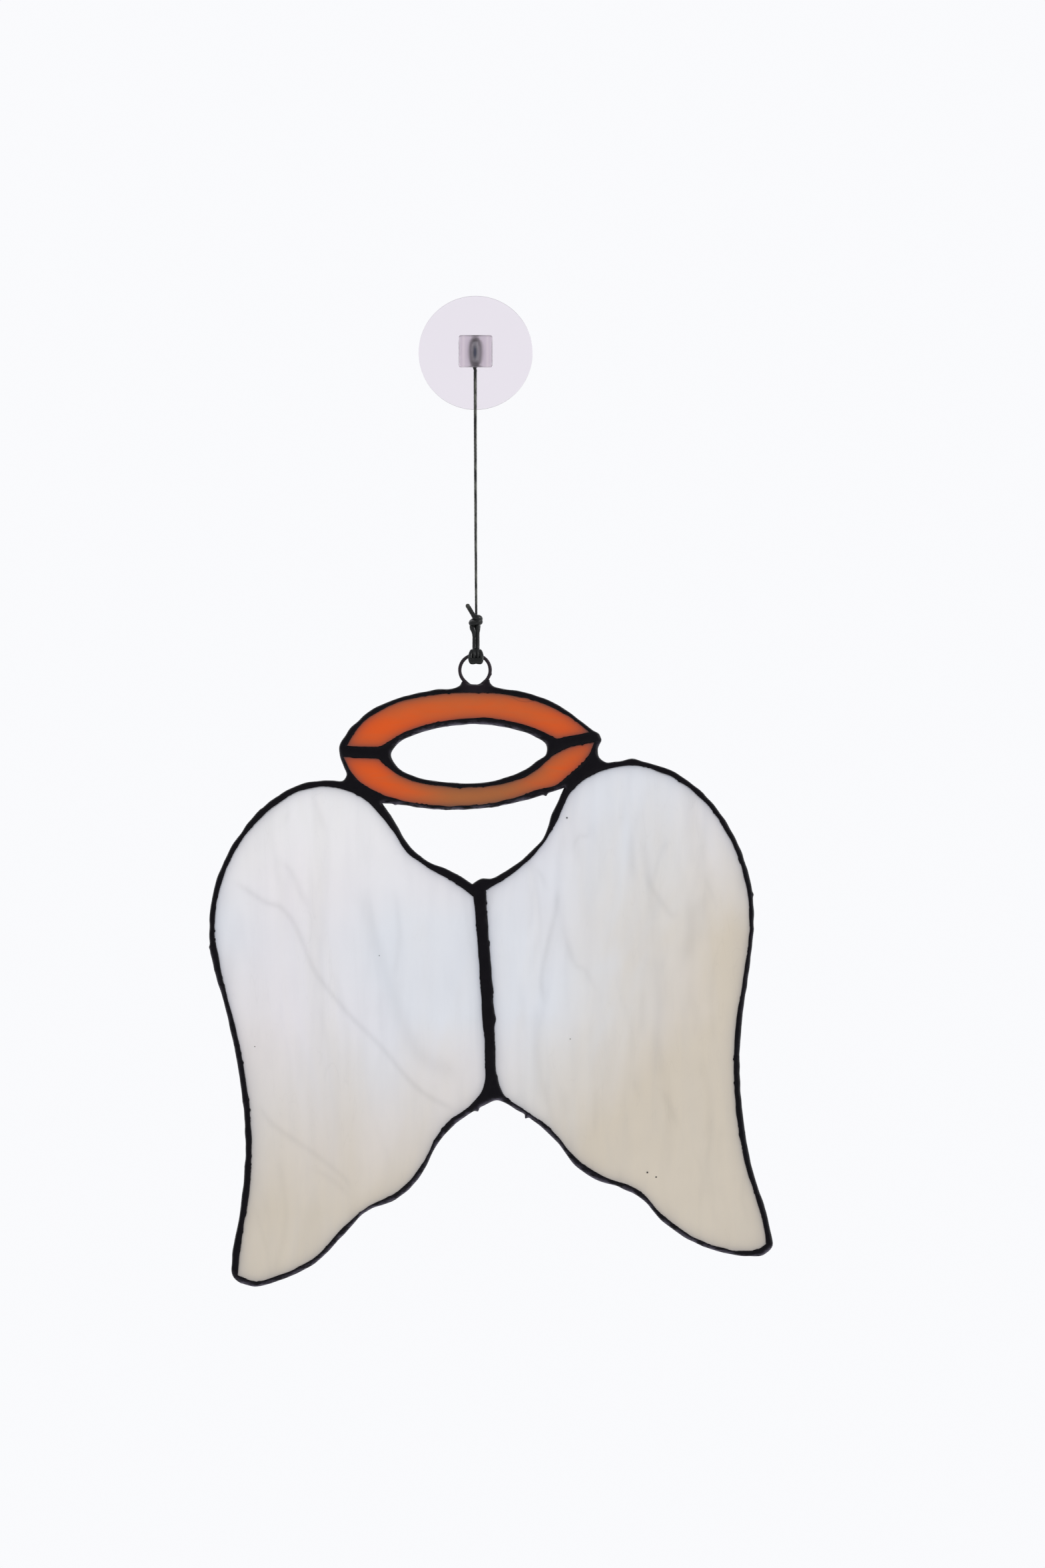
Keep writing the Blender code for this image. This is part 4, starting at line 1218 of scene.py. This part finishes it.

# %% [markdown]
# ### Clear plastic
# The disc is nearly colourless. The head is as clear, but its front is dulled by handling, so what
# lies behind it is a blur. Its rounded upright edges gather light into soft bands, and these bands
# are also painted into the head's colour as painted light, with a pale painted highlight along its
# outermost sides. In the middle of the head's front a lens-shaped dark patch is painted: painted
# shade that stands in for the dark cord loop seen blurred through the head. One tinted face lets
# through only the square root of its colour, so the share of light that the painted patch lets
# through is squared.

# %% Plastic finish
# painted light: the bright and dark bands of the head's rounded upright edges, painted into its colour
LIGHT_BANDS = [(0.00336, 0.0006, colour(0.900, 0.825, 0.850)), (0.0039, 0.0003, colour(0.770, 0.685, 0.745))]
LOOP_SHADE_MIDDLE, LOOP_SHADE_HALF = np.array([-0.00015, 0.0, -0.0004]), (0.0017, 0.0064)
FRONT_ROUGHNESS, CLEAR_ROUGHNESS = 0.55, 0.05

plastic = Finish("clear_moulded_plastic", Transmission_Weight=1.0, IOR=1.49)
clouding = plastic.noise(40.0, 2.0)
disc_tone = plastic.mix(clouding, colour(0.875, 0.830, 0.890), colour(0.893, 0.846, 0.902))
head_tone = plastic.mix(clouding, colour(0.725, 0.655, 0.715), colour(0.745, 0.670, 0.735))
from_axis = plastic.math("ABSOLUTE", plastic.axis("X"))
for middle, half_width, tone in LIGHT_BANDS:
    head_tone = plastic.mix(plastic.line_at(from_axis, middle, half_width), head_tone, tone)
# painted highlight along the head's outermost sides
head_tone = plastic.mix(plastic.between(from_axis, 0.0041, 0.0044), head_tone, colour(0.908, 0.851, 0.893))
on_front = plastic.between(plastic.axis("Y"), -0.0069, -0.0071)
# painted shade: a lens-shaped dark patch on the head's front that stands in for the cord loop seen through
# it
stretch = np.array([1 / LOOP_SHADE_HALF[0], 0.0, 1 / LOOP_SHADE_HALF[1]])
from_loop_shade = plastic.away_from(LOOP_SHADE_MIDDLE * stretch, plastic.moved(stretch))
let_through = plastic.between(from_loop_shade, 0.14, 1.0, 0.03, 1.0)
loop_shade = plastic.times(on_front, plastic.rest_of(plastic.times(let_through, let_through)))
head_tone = plastic.mix(loop_shade, head_tone, colour(0.003, 0.004, 0.010))
in_head = plastic.between(plastic.axis("Y"), -0.0050, -0.0056)
plastic.set("Base Color", plastic.mix(in_head, disc_tone, head_tone))
plastic.set("Roughness", plastic.plus(plastic.times(on_front, FRONT_ROUGHNESS), CLEAR_ROUGHNESS))
plastic.bump(plastic.noise(300.0), 0.00002, 0.2)
plastic.on(hanger)

# %% [markdown]
# ### Waxed cord
# Dark green-black thread with wax on it: dull in the grooves, with a soft grey shine on the
# strands. On the line above the knot it is painted paler in streaks: partly wax gone pale where
# the line is stretched, partly a painted sheen.

# %% Cord finish
waxed = Finish("dark_waxed_cord", Metallic=0.0, Specular_IOR_Level=0.4)
fibre = waxed.noise(2600.0, 3.0, waxed.moved((1.0, 1.0, 0.35)))
dark_wax = waxed.mix(waxed.noise(700.0), colour(0.003, 0.004, 0.004), colour(0.010, 0.012, 0.012))
# painted sheen and pale wax: paler streaks on the line above the knot
line_above_knot = waxed.between(waxed.axis("Z"), -0.074, -0.068)
patches = waxed.noise(1100.0, 2.0, waxed.moved((1.0, 1.0, 0.3)))
pale_wax_and_sheen = waxed.times(line_above_knot, waxed.between(patches, 0.42, 0.62))
waxed.set("Base Color", waxed.mix(pale_wax_and_sheen, dark_wax, colour(0.13, 0.135, 0.115)))
waxed.set("Roughness", waxed.between(fibre, 0.3, 0.7, 0.22, 0.48))
waxed.bump(fibre, 0.00005, 0.6)
waxed.on(line, knot, hitch)

# %% [markdown]
# ## Light and floor
# A suncatcher is seen against the light, so what lies behind it is the brightest thing, and the
# side that it is seen from is dimmer. The world's colour changes only with direction. Two large
# soft lamps in front, the stronger one on the right, give the solder and the cord their shine. A
# pale floor lies below, out of the main picture.

# %% World
BRIGHT_SIDE = colour(0.955, 0.96, 0.98)
DIM_SIDE = colour(0.38, 0.38, 0.39)

world = bpy.data.worlds.new("soft_daylight")
scene.world = world
sky = Nodes(world, "Background", "Generated")
behind_panel = sky.between(sky.axis("Y"), -0.5, 0.6, interpolation_type="SMOOTHSTEP")
sky.set("Color", sky.mix(behind_panel, DIM_SIDE, BRIGHT_SIDE))
scene.view_settings.view_transform = "Standard"


# %% Lamps and floor
def soft_lamp(name, place, size, power):
    """A square area lamp that faces the panel."""
    data = bpy.data.lights.new(name, "AREA")
    data.shape = "SQUARE"
    data.size = size
    data.energy = power
    lamp = bpy.data.objects.new(name, data)
    lamp.location = place
    lamp.rotation_euler = (AIM - lamp.location).to_track_quat("-Z", "Y").to_euler()
    scene.collection.objects.link(lamp)


soft_lamp("front_lamp", Vector((-0.9, -1.3, 0.9)), 0.9, 3.0)
soft_lamp("side_lamp", Vector((1.5, -0.6, 0.4)), 0.8, 10.0)

FLOOR_Z, FLOOR_HALF = -0.42, 4.0
floor_data = bpy.data.meshes.new("floor")
corners = [(-1, -1), (1, -1), (1, 1), (-1, 1)]
floor_data.from_pydata([(x * FLOOR_HALF, y * FLOOR_HALF, FLOOR_Z) for x, y in corners], [], [(0, 1, 2, 3)])
floor = bpy.data.objects.new("floor", floor_data)
scene.collection.objects.link(floor)
matt = Finish("pale_floor", Roughness=0.7)
matt.set("Base Color", matt.mix(matt.noise(3.0), colour(0.78, 0.78, 0.78), colour(0.81, 0.81, 0.81)))
matt.on(floor)
